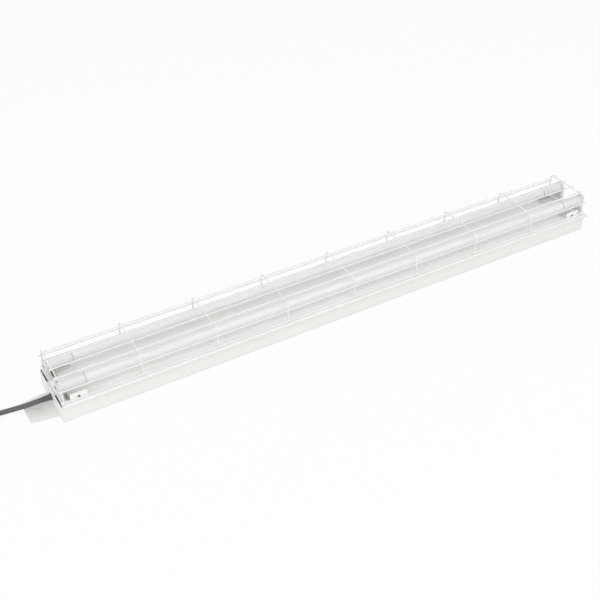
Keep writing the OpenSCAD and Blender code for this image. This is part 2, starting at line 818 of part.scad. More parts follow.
// Tie round the bundle of turns, at one place of the coil.
module coil_tie() {
    tie_t = 0.4;
    tie_w = 12;
    tie_at = 300;
    lift = 0.05;
    passes = [for (k = [0 : 5]) (tie_at - coil_from) / 360 + k];
    used = [for (t = passes) if (t > 0 && t < coil_turns) coil_r(t)];
    inside = min(used) - cord_r;
    r0 = sqrt(inside * inside - tie_w * tie_w / 4) - seat_gap;
    r1 = max(used) + cord_r + seat_gap;
    z0 = lie_z - cord_r - lift;
    z1 = lie_z + turn_pitch + cord_r + lift;
    color(dark) at_end_plate() translate([coil_at[0], coil_at[1], 0]) rotate([0, 0, tie_at])
        difference() {
            translate([r0 - tie_t, -tie_w / 2, z0 - tie_t])
                cube([r1 - r0 + 2 * tie_t, tie_w, z1 - z0 + 2 * tie_t]);
            translate([r0, -tie_w / 2 - cut, z0]) cube([r1 - r0, tie_w + 2 * cut, z1 - z0]);
        }
}

// Round rubber plug lying on its side, with a tapered neck and a grip waist.
module plug_body() {
    r = plug_d / 2;
    r_neck = cord_r + 1.5;
    r_waist = r - 6;
    edge = 1.5;
    head = plug_len - 22;
    waist = plug_len - 38;
    color(rubber) at_end_plate() translate(plug_rear) rotate([90, 0, 0])
        rotate_extrude($fn = 96)
            polygon([[0, 0], [r_neck, 0], [r_neck + 2, waist - 3], [r_waist, waist],
                     [r_waist + 1, head - 4], [r, head], [r, plug_len - edge],
                     [r - edge, plug_len], [0, plug_len]]);
}

module plug_pins() {
    tip = 1.2;
    color(brass) at_end_plate() translate(plug_rear + [0, -plug_len, 0])
        for (s = [-1, 1])
            translate([s * plug_pin_pitch / 2, 0, 0]) rotate([90, 0, 0]) rotate_extrude($fn = 32)
                polygon([[0, 0], [plug_pin_d / 2, 0], [plug_pin_d / 2, plug_pin_len - tip],
                         [plug_pin_d / 2 - tip, plug_pin_len], [0, plug_pin_len]]);
}

body_channel();
end_plate_left();
end_plate_right();
gear_tray();
saddle_left();
saddle_right();
lampholder(-1, -1);  // lampholder_near_left
lampholder(-1, 1);  // lampholder_near_right
lampholder(1, -1);  // lampholder_far_left
lampholder(1, 1);  // lampholder_far_right
rotor(-1, -1);  // rotor_near_left
rotor(-1, 1);  // rotor_near_right
rotor(1, -1);  // rotor_far_left
rotor(1, 1);  // rotor_far_right
tube(-1);  // tube_near
tube(1);  // tube_far
cap(-1, -1);  // cap_near_left
cap(-1, 1);  // cap_near_right
cap(1, -1);  // cap_far_left
cap(1, 1);  // cap_far_right
pins(-1);  // pins_near
pins(1);  // pins_far
board(-1);  // board_near
board(1);  // board_far
for (i = [1 : hoop_count])
    guard_hoop(i);
guard_top_wires();
guard_side_wires(-1);  // guard_side_wires_near
guard_side_wires(1);  // guard_side_wires_far
grommet();
cable_tail();
clamp_base();
clamp_bar();
clamp_screws();
terminal_block();
terminal_screws();
earth_stud();
earth_nut();
earth_lead();
cores();
lamp_leads();
cord();
cord_coil();
cord_end();
coil_tie();
plug_body();
plug_pins();
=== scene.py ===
"""Looks of a twin-tube batten light with a welded wire guard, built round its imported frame.

The light lies on its back: +X runs along the tubes away from the flex, +Z points out of the lamp side
and the back face is at Z = 0. Everything is in metres in the part's own frame.
"""

import logging
import math
from dataclasses import dataclass, field
from enum import Enum
from typing import Callable, Optional, Sequence

import bmesh
import bpy
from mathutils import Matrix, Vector


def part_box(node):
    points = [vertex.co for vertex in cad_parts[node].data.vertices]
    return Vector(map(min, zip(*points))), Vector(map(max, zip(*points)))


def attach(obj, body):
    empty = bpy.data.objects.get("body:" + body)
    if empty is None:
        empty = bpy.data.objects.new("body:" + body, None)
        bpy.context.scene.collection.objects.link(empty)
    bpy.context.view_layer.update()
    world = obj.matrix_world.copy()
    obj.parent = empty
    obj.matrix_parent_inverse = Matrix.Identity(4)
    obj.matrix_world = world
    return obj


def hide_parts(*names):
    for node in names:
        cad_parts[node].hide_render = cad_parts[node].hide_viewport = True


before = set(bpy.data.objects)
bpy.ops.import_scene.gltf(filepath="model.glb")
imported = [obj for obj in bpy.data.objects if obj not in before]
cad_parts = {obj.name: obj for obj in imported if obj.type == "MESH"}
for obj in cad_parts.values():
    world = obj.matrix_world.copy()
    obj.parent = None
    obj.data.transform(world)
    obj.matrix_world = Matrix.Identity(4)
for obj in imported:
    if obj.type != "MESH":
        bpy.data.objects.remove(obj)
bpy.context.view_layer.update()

LOG = logging.getLogger("batten_light")
MM = 0.001
# Thickness of the sheet steel
SHEET = 1.2 * MM
# Diameter of the flex, and length of its sleeve outside the end plate
FLEX_D = 11.5 * MM
SLEEVE = 22 * MM
# Side of the light along Y on which each lamp lies, and way that each end faces
ROWS = {"near": -1, "far": 1}
OUTWARD = {"left": Vector((-1.0, 0.0, 0.0)), "right": Vector((1.0, 0.0, 0.0))}
CORNERS = [(row, end) for row in ROWS for end in OUTWARD]

Colour = tuple[float, float, float]
Pair = tuple[float, float]
Picker = Callable[[Vector, Vector], bool]


class Relief(Enum):
    """Fine relief of a surface."""

    PEEL = "orange peel of baked powder"
    SPARK = "eroded mould steel"
    ROLLED = "streaks of rolled or drawn metal"
    GRAIN = "grain of moulded rubber"
    SATIN = "faint ripple of extruded plastic"


@dataclass(frozen=True)
class Finish:
    """A surface finish whose tone, gloss and relief vary over the surface.

    Attributes:
        name: Name of the material, which differs from the name of every material slot.
        light: Colour where the surface is cleanest.
        deep: Colour where it is dustiest or thickest.
        gloss: Lowest and highest roughness.
        relief: Kind of fine relief.
        grain: Size of one grain of the relief, in metres.
        depth: Height of the relief, in metres.
        metallic: 1 for bare metal, 0 otherwise.
        coat: Weight of the clear coat.
        glow: Weight of the light that spreads under the surface.
        patch: Size of the broad patches of tone, in metres.
        coat_gloss: Roughness of the clear coat.
        scatter: How far light spreads under the surface, in metres.
        octaves: Finer layers of the patches and of the relief.
    """

    name: str
    light: Colour
    deep: Colour
    gloss: Pair
    relief: Relief
    grain: float
    depth: float
    metallic: float = 0.0
    coat: float = 0.0
    glow: float = 0.0
    patch: float = 0.12
    coat_gloss: float = 0.12
    scatter: float = 0.004
    octaves: Pair = (3.0, 2.0)

    def stretch(self) -> Vector:
        """Scale of the relief along X, Y and Z, where less than 1 draws it out."""
        drawn = {Relief.ROLLED: 0.04, Relief.SATIN: 0.15}
        return Vector((drawn.get(self.relief, 1.0), 1.0, 1.0))

    def material(self) -> bpy.types.Material:
        """Makes the material, or finds it if it is made already.

        Returns:
            The node material of this finish.
        """
        found = bpy.data.materials.get(self.name)
        if found is not None:
            return found
        made = bpy.data.materials.new(self.name)
        made.use_nodes = True
        tree = made.node_tree
        shader = tree.nodes["Principled BSDF"]
        shader.inputs["Metallic"].default_value = self.metallic
        shader.inputs["Coat Weight"].default_value = self.coat
        shader.inputs["Coat Roughness"].default_value = self.coat_gloss
        if self.glow > 0:
            shader.inputs["Subsurface Weight"].default_value = self.glow
            shader.inputs["Subsurface Radius"].default_value = (self.scatter, self.scatter, self.scatter)
            shader.inputs["Subsurface Scale"].default_value = 1.0
        place = tree.nodes.new("ShaderNodeTexCoord")
        patches = self._noise(tree, place.outputs["Object"], 1.0 / self.patch, self.octaves[0])
        tone = tree.nodes.new("ShaderNodeMix")
        tone.data_type = "RGBA"
        tone.inputs["A"].default_value = (*self.light, 1.0)
        tone.inputs["B"].default_value = (*self.deep, 1.0)
        tree.links.new(patches.outputs["Fac"], tone.inputs["Factor"])
        tree.links.new(tone.outputs["Result"], shader.inputs["Base Color"])
        drawn = tree.nodes.new("ShaderNodeMapping")
        drawn.inputs["Scale"].default_value = self.stretch()
        tree.links.new(place.outputs["Object"], drawn.inputs["Vector"])
        grains = self._noise(tree, drawn.outputs["Vector"], 1.0 / self.grain, self.octaves[1])
        spread = tree.nodes.new("ShaderNodeMapRange")
        spread.inputs["To Min"].default_value = self.gloss[0]
        spread.inputs["To Max"].default_value = self.gloss[1]
        tree.links.new(grains.outputs["Fac"], spread.inputs["Value"])
        tree.links.new(spread.outputs["Result"], shader.inputs["Roughness"])
        bump = tree.nodes.new("ShaderNodeBump")
        bump.inputs["Strength"].default_value = 1.0
        bump.inputs["Distance"].default_value = self.depth
        tree.links.new(grains.outputs["Fac"], bump.inputs["Height"])
        tree.links.new(bump.outputs["Normal"], shader.inputs["Normal"])
        return made

    @staticmethod
    def _noise(
        tree: bpy.types.NodeTree, place: bpy.types.NodeSocket, scale: float, detail: float
    ) -> bpy.types.Node:
        """Adds a noise texture.

        Args:
            tree: Node tree that gets the texture.
            place: Socket with the coordinates.
            scale: Number of grains in a metre.
            detail: Number of finer octaves.

        Returns:
            The noise texture node.
        """
        noise = tree.nodes.new("ShaderNodeTexNoise")
        noise.inputs["Scale"].default_value = scale
        noise.inputs["Detail"].default_value = detail
        tree.links.new(place, noise.inputs["Vector"])
        return noise


WHITE_POWDER = Finish(
    "white_powder_coat", (0.83, 0.83, 0.82), (0.79, 0.79, 0.775), (0.34, 0.46),
    Relief.PEEL, grain=0.0016, depth=0.00003,
)
# Painted light: a brighter copy of the white powder for the tray's top and the window pans, which lightens
# the shade between and under the tubes.
TRAY_LIGHT = Finish(
    "tray_painted_light", (0.93, 0.93, 0.925), (0.905, 0.905, 0.895), (0.3, 0.42),
    Relief.PEEL, grain=0.0016, depth=0.00003,
)
WIRE_POWDER = Finish(
    "wire_powder_coat", (0.84, 0.84, 0.835), (0.8, 0.8, 0.79), (0.26, 0.38),
    Relief.PEEL, grain=0.0012, depth=0.00004, coat=0.15,
)
# Painted shade: a greyer copy of the white powder for the faces inside the body and under the tray,
# standing for the shade inside the housing.
INNER_SHADE = Finish(
    "inner_painted_shade", (0.72, 0.72, 0.71), (0.66, 0.66, 0.65), (0.5, 0.65),
    Relief.PEEL, grain=0.002, depth=0.00003,
)
WHITE_PLASTIC = Finish(
    "white_moulded_plastic", (0.7, 0.7, 0.697), (0.66, 0.66, 0.652), (0.36, 0.46),
    Relief.SPARK, grain=0.0005, depth=0.00001,
)
# Painted light: a brighter copy of the white plastic for the saddle plates, which lightens the shade under
# the caps and between the tubes.
SADDLE_LIGHT = Finish(
    "saddle_painted_light", (0.91, 0.91, 0.905), (0.88, 0.88, 0.87), (0.3, 0.42),
    Relief.SPARK, grain=0.0007, depth=0.00002,
)
CAP_PLASTIC = Finish(
    "cap_moulding", (0.79, 0.79, 0.787), (0.73, 0.73, 0.725), (0.34, 0.46),
    Relief.SPARK, grain=0.0006, depth=0.000008, patch=0.02,
)
OPAL = Finish(
    "opal_polycarbonate", (0.83, 0.83, 0.828), (0.8, 0.8, 0.796), (0.14, 0.18),
    Relief.SATIN, grain=0.01, depth=0.00001, glow=0.15, patch=0.3,
)
BOARD_WHITE = Finish(
    "board_lacquer", (0.8, 0.8, 0.76), (0.74, 0.74, 0.7), (0.35, 0.5),
    Relief.SPARK, grain=0.001, depth=0.00001,
)
# Painted shade: a grey ring at the end of each cap's sleeve, standing for the shadow at the seam between
# cap and tube.
SEAM_SHADE = Finish(
    "cap_seam_painted_shade", (0.56, 0.56, 0.55), (0.48, 0.48, 0.47), (0.4, 0.5),
    Relief.GRAIN, grain=0.0008, depth=0.00001, patch=0.01,
)
# Painted shade: grey for the sheet under the ear, standing for the shade seen through its slot.
SLOT_SHADE = Finish(
    "slot_painted_shade", (0.78, 0.78, 0.78), (0.72, 0.72, 0.72), (0.7, 0.8),
    Relief.GRAIN, grain=0.001, depth=0.00001,
)
DARK_PLASTIC = Finish(
    "dark_moulding", (0.06, 0.06, 0.062), (0.04, 0.04, 0.042), (0.35, 0.5),
    Relief.SPARK, grain=0.0006, depth=0.00001,
)
BLACK_RUBBER = Finish(
    "flex_rubber", (0.122, 0.122, 0.124), (0.095, 0.095, 0.097), (0.5, 0.68),
    Relief.GRAIN, grain=0.0009, depth=0.00003, patch=0.05,
)
LEAD_PVC = Finish(
    "lead_pvc", (0.55, 0.56, 0.58), (0.46, 0.47, 0.49), (0.3, 0.42),
    Relief.SATIN, grain=0.002, depth=0.00001, patch=0.04,
)
PLATED_STEEL = Finish(
    "zinc_plated_steel", (0.66, 0.66, 0.68), (0.56, 0.56, 0.57), (0.24, 0.38),
    Relief.ROLLED, grain=0.0006, depth=0.000006, metallic=1.0, patch=0.02,
)
BRASS = Finish(
    "brass_metal", (0.82, 0.64, 0.32), (0.68, 0.5, 0.23), (0.2, 0.34),
    Relief.ROLLED, grain=0.0005, depth=0.000006, metallic=1.0, patch=0.01,
)


def linked(name: str, data: bpy.types.ID) -> bpy.types.Object:
    """Makes an object of a mesh, curve, lamp or camera and links it to the scene.

    Args:
        name: Name of the object.
        data: What it holds.

    Returns:
        The new object.
    """
    made = bpy.data.objects.new(name, data)
    bpy.context.scene.collection.objects.link(made)
    return made


def angles(sides: int) -> list[float]:
    """Angles of the corners of a round with that many sides."""
    return [2 * math.pi * side / sides for side in range(sides)]


def middle(node: str) -> Vector:
    """Middle of a node's box."""
    low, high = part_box(node)
    return (low + high) / 2


def radius_of(node: str) -> float:
    """Radius of a round node that lies along X."""
    low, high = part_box(node)
    return (high.z - low.z) / 2


def end_face(node: str, end: str, about: str) -> Vector:
    """Finds the point of a node's outer face that lies on the middle line of a round node.

    Args:
        node: Name of a lampholder, rotor or cap.
        end: End of the light, left or right.
        about: Name of the round node.

    Returns:
        The point.
    """
    low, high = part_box(node)
    axis = middle(about)
    return Vector((low.x if end == "left" else high.x, axis.y, axis.z))


class Solid:
    """A mesh in the making: its points and faces in the part's frame."""

    def __init__(self) -> None:
        """Starts with nothing."""
        self.points: list[Vector] = []
        self.faces: list[tuple[int, ...]] = []

    def rings(self, rings: Sequence[Sequence[Vector]], closed: bool = False) -> "Solid":
        """Skins a row of rings of equal size and closes its ends with fans.

        Args:
            rings: Rings of points, each turning the same way round.
            closed: True if the last ring joins the first again.

        Returns:
            This solid.
        """
        start = len(self.points)
        count = len(rings[0])
        for ring in rings:
            self.points.extend(ring)
        steps = len(rings) if closed else len(rings) - 1
        for step in range(steps):
            low = start + step * count
            high = start + (step + 1) % len(rings) * count
            for turn in range(count):
                nxt = (turn + 1) % count
                self.faces.append((low + turn, low + nxt, high + nxt, high + turn))
        if not closed:
            self.faces.append(tuple(start + turn for turn in reversed(range(count))))
            last = start + (len(rings) - 1) * count
            self.faces.append(tuple(last + turn for turn in range(count)))
        return self

    def lathe(
        self,
        profile: Sequence[Pair],
        origin: Vector,
        axis: Vector,
        sides: int = 64,
        flute: Optional[Callable[[float, float], float]] = None,
        hollow: bool = False,
    ) -> "Solid":
        """Turns a profile about an axis.

        Args:
            profile: Pairs of distance along the axis and radius.
            origin: Start of the axis.
            axis: Direction of the axis.
            sides: Number of sides of the round.
            flute: Gives the depth cut from the radius at an angle and a distance along the axis.
            hollow: True if the profile is a closed outline that turns into a ring.

        Returns:
            This solid.
        """
        along = axis.normalized()
        across = along.orthogonal().normalized()
        up = along.cross(across)
        rings = []
        for distance, radius in profile:
            ring = []
            for angle in angles(sides):
                reach = radius - (flute(angle, distance) if flute else 0.0)
                ring.append(
                    origin + along * distance + (across * math.cos(angle) + up * math.sin(angle)) * reach
                )
            rings.append(ring)
        return self.rings(rings, closed=hollow)

    def sweep(self, path: Sequence[Vector], radius: float, sides: int = 20, dome: bool = True) -> "Solid":
        """Sweeps a circle along a path that lies in one plane or runs straight.

        Args:
            path: Points of the centre line.
            radius: Radius of the wire.
            sides: Number of sides of the wire.
            dome: True to round the rims of both ends.

        Returns:
            This solid.
        """
        stations = [(point, radius) for point in path]
        if dome:
            first = (path[1] - path[0]).normalized()
            last = (path[-1] - path[-2]).normalized()
            share = 0.3
            rim = radius * share
            stations[0] = (path[0], radius - rim)
            stations.insert(1, (path[0] + first * rim * share, radius - rim * share))
            stations.insert(2, (path[0] + first * rim, radius))
            stations[-1] = (path[-1], radius - rim)
            stations.insert(-1, (path[-1] - last * rim, radius))
            stations.insert(-1, (path[-1] - last * rim * share, radius - rim * share))
        normal = self._plane(path)
        rings = []
        for index, (point, reach) in enumerate(stations):
            before = stations[max(index - 1, 0)][0]
            after = stations[min(index + 1, len(stations) - 1)][0]
            along = (after - before).normalized()
            side = along.cross(normal).normalized()
            rings.append([
                point + (normal * math.cos(angle) - side * math.sin(angle)) * reach
                for angle in angles(sides)
            ])
        return self.rings(rings)

    @staticmethod
    def _plane(path: Sequence[Vector]) -> Vector:
        """Normal of the plane that a path lies in.

        Args:
            path: Points of the path.

        Returns:
            The unit normal.
        """
        start = (path[1] - path[0]).normalized()
        straight = 1e-6
        for point in path[2:]:
            normal = start.cross(point - path[0])
            if normal.length > straight:
                return normal.normalized()
        return start.orthogonal().normalized()

    def blob(self, centre: Vector, half: Vector, rows: int = 6, sides: int = 10) -> "Solid":
        """Adds an egg-shaped drop, as weld metal leaves.

        Args:
            centre: Middle of the drop.
            half: Half its size along X, Y and Z.
            rows: Number of rows from pole to pole.
            sides: Number of sides.

        Returns:
            This solid.
        """
        rings = []
        for row in range(1, rows):
            polar = math.pi * row / rows
            rings.append([
                centre + Vector((
                    half.x * math.sin(polar) * math.cos(angle),
                    half.y * math.sin(polar) * math.sin(angle),
                    -half.z * math.cos(polar),
                ))
                for angle in angles(sides)
            ])
        return self.rings(rings)

    def piece(
        self, name: str, finish: Finish, body: str, slot: str, crease: float = 35.0
    ) -> bpy.types.Object:
        """Makes the object, dresses it and lets it ride on a body.

        Args:
            name: Name of the piece.
            finish: Its finish.
            body: Body that carries it.
            slot: Name of a material slot; not used.
            crease: Angle in degrees above which an edge stays sharp.

        Returns:
            The new object.
        """
        mesh = bpy.data.meshes.new(name)
        mesh.from_pydata([tuple(point) for point in self.points], [], self.faces)
        shape = bmesh.new()
        shape.from_mesh(mesh)
        bmesh.ops.recalc_face_normals(shape, faces=shape.faces)
        shape.to_mesh(mesh)
        shape.free()
        return dressed(mesh, name, [finish], body, crease)


def dressed(
    mesh: bpy.types.Mesh,
    name: str,
    finishes: Sequence[Finish],
    body: str,
    crease: float = 35.0,
) -> bpy.types.Object:
    """Links a mesh as a piece with smooth shading, materials and a body.

    Args:
        mesh: Mesh in the part's frame.
        name: Name of the piece.
        finishes: Finishes in the order of the faces' material numbers.
        body: Body that carries it.
        crease: Angle in degrees above which an edge stays sharp.

    Returns:
        The new object.
    """
    mesh.polygons.foreach_set("use_smooth", [True] * len(mesh.polygons))
    mesh.set_sharp_from_angle(angle=math.radians(crease))
    mesh.update()
    piece = linked(name, mesh)
    for finish in finishes:
        mesh.materials.append(finish.material())
    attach(piece, body)
    return piece


@dataclass(frozen=True)
class Rounding:
    """How the edges of a solid are softened.

    Attributes:
        edge: Radius of an ordinary edge, in metres.
        bend: Radius of the edges that bend_at picks, in metres.
        steps: Number of faces round an edge.
        bend_steps: Number of faces round a bend.
        bend_at: Says of an edge's middle and direction if it is a bend.
        inside: Says of a face's middle and normal if it faces into the housing.
        lip: Says of a face's middle and normal if it is the outside of a folded lip.
    """

    edge: float
    bend: float = 0.0
    steps: int = 2
    bend_steps: int = 4
    bend_at: Optional[Picker] = None
    inside: Optional[Picker] = None
    lip: Optional[Picker] = None

    def soften(self, shape: bmesh.types.BMesh) -> None:
        """Rounds the bends of a mesh first and then its other sharp edges.

        Args:
            shape: Mesh that is rounded.
        """
        folded, sharp = math.radians(60), math.radians(40)
        if self.bend_at is not None:
            bends = [
                edge
                for edge in shape.edges
                if edge.is_manifold
                and edge.calc_face_angle(0.0) > folded
                and self.bend_at(
                    (edge.verts[0].co + edge.verts[1].co) / 2, edge.verts[1].co - edge.verts[0].co
                )
            ]
            self._bevel(shape, bends, self.bend, self.bend_steps)
        edges = [edge for edge in shape.edges if edge.is_manifold and edge.calc_face_angle(0.0) > sharp]
        self._bevel(shape, edges, self.edge, self.steps)

    @staticmethod
    def _bevel(shape: bmesh.types.BMesh, edges: list, radius: float, steps: int) -> None:
        """Rounds edges of a mesh.

        Args:
            shape: Mesh that they belong to.
            edges: The edges.
            radius: Radius of the rounding.
            steps: Number of faces round an edge.
        """
        bmesh.ops.bevel(
            shape, geom=edges, offset=radius, segments=steps, profile=0.5, affect="EDGES",
            clamp_overlap=True,
        )


def softened(
    node: str, finish: Finish, body: str, slot: str, rounding: Rounding, *others: Finish
) -> bpy.types.Object:
    """Stands a copy with rounded edges in for a node of the frame.

    Args:
        node: Name of the node.
        finish: Its finish.
        body: Body that carries it.
        slot: Name of a material slot; not used.
        rounding: How the edges are softened.
        others: Finish of the faces that face into the housing, which is painted shade for the body and
            tray, and of the lips' outside.

    Returns:
        The new object.
    """
    same_place, same_plane = 1e-6, math.radians(0.5)
    shape = bmesh.new()
    shape.from_mesh(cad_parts[node].data)
    bmesh.ops.remove_doubles(shape, verts=shape.verts, dist=same_place)
    bmesh.ops.dissolve_limit(shape, angle_limit=same_plane, verts=shape.verts, edges=shape.edges)
    rounding.soften(shape)
    for number, picks in enumerate((rounding.inside, rounding.lip), start=1):
        if picks is not None:
            for face in shape.faces:
                if picks(face.calc_center_median(), face.normal):
                    face.material_index = number
    mesh = bpy.data.meshes.new(node + "_soft")
    shape.to_mesh(mesh)
    shape.free()
    piece = dressed(mesh, node + "_soft", [finish, *others], body)
    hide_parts(node)
    return piece


@dataclass(frozen=True)
class Softbox:
    """Soft lamp with a rectangular panel.

    Attributes:
        name: Name of the lamp.
        place: Where it hangs.
        size: Width and height of its panel.
        power: Its power in watts.
        aim: X of the point over the light's middle line that it faces.
        aim_height: Height of that point.
    """

    name: str
    place: tuple[float, float, float]
    size: Pair
    power: float
    aim: float = 0.0
    aim_height: float = 0.05

    def hang(self) -> None:
        """Hangs the lamp and turns it to its aim."""
        data = bpy.data.lights.new(self.name, "AREA")
        data.shape = "RECTANGLE"
        data.size, data.size_y = self.size
        data.energy = self.power
        lamp = linked(self.name, data)
        lamp.location = self.place
        way = Vector((self.aim, 0.0, self.aim_height)) - Vector(self.place)
        lamp.rotation_euler = way.to_track_quat("-Z", "Y").to_euler()


@dataclass
class Studio:
    """Camera, floor, world and lamps.

    Attributes:
        eye: Place of the camera.
        pitch: Angle in degrees that the camera looks down.
        yaw: Angle in degrees that the camera looks away from +Y towards +X.
        lens: Focal length in millimetres.
        sensor: Width of the sensor in millimetres.
        clip: Nearest and farthest distance that the camera sees.
        sky: Strength of the light from all round.
        floor_white: Share of plain white that the camera sees in the floor.
        floor_reach: Half the side of the floor.
        softboxes: The soft lamps round the light.
    """

    eye: tuple[float, float, float] = (-1.06893, -1.673645, 1.550499)
    pitch: float = 37.8416
    yaw: float = 30.3432
    lens: float = 59.4405
    sensor: float = 36.0
    clip: Pair = (0.05, 60.0)
    sky: float = 0.76
    floor_white: float = 0.9
    floor_reach: float = 12.0
    softboxes: tuple[Softbox, ...] = (
        Softbox("long_softbox", (0.0, -0.7, 2.2), size=(3.4, 0.6), power=9.0),
        Softbox("front_softbox", (0.0, -2.4, 1.6), size=(3.4, 0.8), power=4.0),
        Softbox("left_softbox", (-3.6, -1.1, 1.1), size=(2.0, 1.6), power=30.0, aim=-0.3),
        Softbox("right_softbox", (1.6, -2.9, 0.9), size=(1.8, 1.0), power=15.0, aim=0.2),
    )

    def camera(self) -> None:
        """Makes the camera at the photograph's viewing angle."""
        data = bpy.data.cameras.new("camera")
        data.sensor_width = self.sensor
        data.lens = self.lens
        data.clip_start, data.clip_end = self.clip
        camera = linked("camera", data)
        camera.location = self.eye
        camera.rotation_euler = (math.radians(90 - self.pitch), 0.0, math.radians(-self.yaw))
        bpy.context.scene.camera = camera

    @staticmethod
    def _seen(tree: bpy.types.NodeTree) -> bpy.types.NodeSocket:
        """Adds nodes that tell the rays that see the backdrop from those that light the object.

        Args:
            tree: Node tree that gets them.

        Returns:
            A socket that is 1 for camera, glossy and transmission rays.
        """
        rays = tree.nodes.new("ShaderNodeLightPath")
        total = rays.outputs["Is Camera Ray"]
        for name in ("Is Glossy Ray", "Is Transmission Ray"):
            either = tree.nodes.new("ShaderNodeMath")
            either.operation = "MAXIMUM"
            tree.links.new(total, either.inputs[0])
            tree.links.new(rays.outputs[name], either.inputs[1])
            total = either.outputs["Value"]
        return total

    def world(self) -> None:
        """Makes a world that lights softly and shows plain white."""
        world = bpy.data.worlds.new("studio")
        bpy.context.scene.world = world
        world.use_nodes = True
        tree = world.node_tree
        light = tree.nodes["Background"]
        light.inputs["Color"].default_value = (1.0, 1.0, 1.0, 1.0)
        light.inputs["Strength"].default_value = self.sky
        shown = tree.nodes.new("ShaderNodeBackground")
        shown.inputs["Strength"].default_value = 1.0
        shown.inputs["Color"].default_value = (1.0, 1.0, 1.0, 1.0)
        either = tree.nodes.new("ShaderNodeMixShader")
        tree.links.new(self._seen(tree), either.inputs["Fac"])
        tree.links.new(light.outputs["Background"], either.inputs[1])
        tree.links.new(shown.outputs["Background"], either.inputs[2])
        tree.links.new(either.outputs["Shader"], tree.nodes["World Output"].inputs["Surface"])

    @staticmethod
    def lay(name: str, xs: Pair, half: float, drop: float, material: bpy.types.Material) -> None:
        """Lays a flat sheet of the stage under the light.

        Args:
            name: Name of the sheet.
            xs: Lowest and highest X.
            half: Half its width along Y.
            drop: How far it lies below the surface that the light lies on.
            material: Its material.
        """
        first, last = xs
        mesh = bpy.data.meshes.new(name)
        corners = [(first, -half), (last, -half), (last, half), (first, half)]
        mesh.from_pydata([(x, y, -drop) for x, y in corners], [], [(0, 1, 2, 3)])
        mesh.materials.append(material)
        linked(name, mesh)

    def floor_material(self) -> bpy.types.Material:
        """Makes the floor's white, which takes a shadow and otherwise shows as plain white.

        Returns:
            The material.
        """
        white = bpy.data.materials.new("floor_white")
        white.use_nodes = True
        tree = white.node_tree
        matt = tree.nodes["Principled BSDF"]
        tone = 0.88
        matt.inputs["Base Color"].default_value = (tone, tone, tone, 1.0)
        matt.inputs["Roughness"].default_value = 1.0
        matt.inputs["Specular IOR Level"].default_value = 0.0
        plain = tree.nodes.new("ShaderNodeEmission")
        plain.inputs["Strength"].default_value = 1.0
        share = tree.nodes.new("ShaderNodeMath")
        share.operation = "MULTIPLY"
        share.inputs[1].default_value = self.floor_white
        tree.links.new(self._seen(tree), share.inputs[0])
        either = tree.nodes.new("ShaderNodeMixShader")
        tree.links.new(share.outputs["Value"], either.inputs["Fac"])
        tree.links.new(matt.outputs["BSDF"], either.inputs[1])
        tree.links.new(plain.outputs["Emission"], either.inputs[2])
        tree.links.new(either.outputs["Shader"], tree.nodes["Material Output"].inputs["Surface"])
        return white

    def floor(self) -> None:
        """Lays the white floor."""
        reach, drop = self.floor_reach, 0.3 * MM
        self.lay("floor", (-reach, reach), reach, drop, self.floor_material())

    def ear_slot_shade(self) -> None:
        """Lays a grey sheet of painted shade on the floor under the ear, which shows only through its slot
        as the shade under it.
        """
        inset, half, drop = 2 * MM, 34 * MM, 0.15 * MM
        xs = (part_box("end_plate_left")[0].x + inset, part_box("body_channel")[0].x - inset)
        self.lay("ear_slot_shade", xs, half, drop, SLOT_SHADE.material())

    def build(self) -> None:
        """Sets up the whole studio."""
        self.camera()
        self.world()
        self.floor()
        self.ear_slot_shade()
        for softbox in self.softboxes:
            softbox.hang()
        bpy.context.scene.view_settings.view_transform = "Standard"


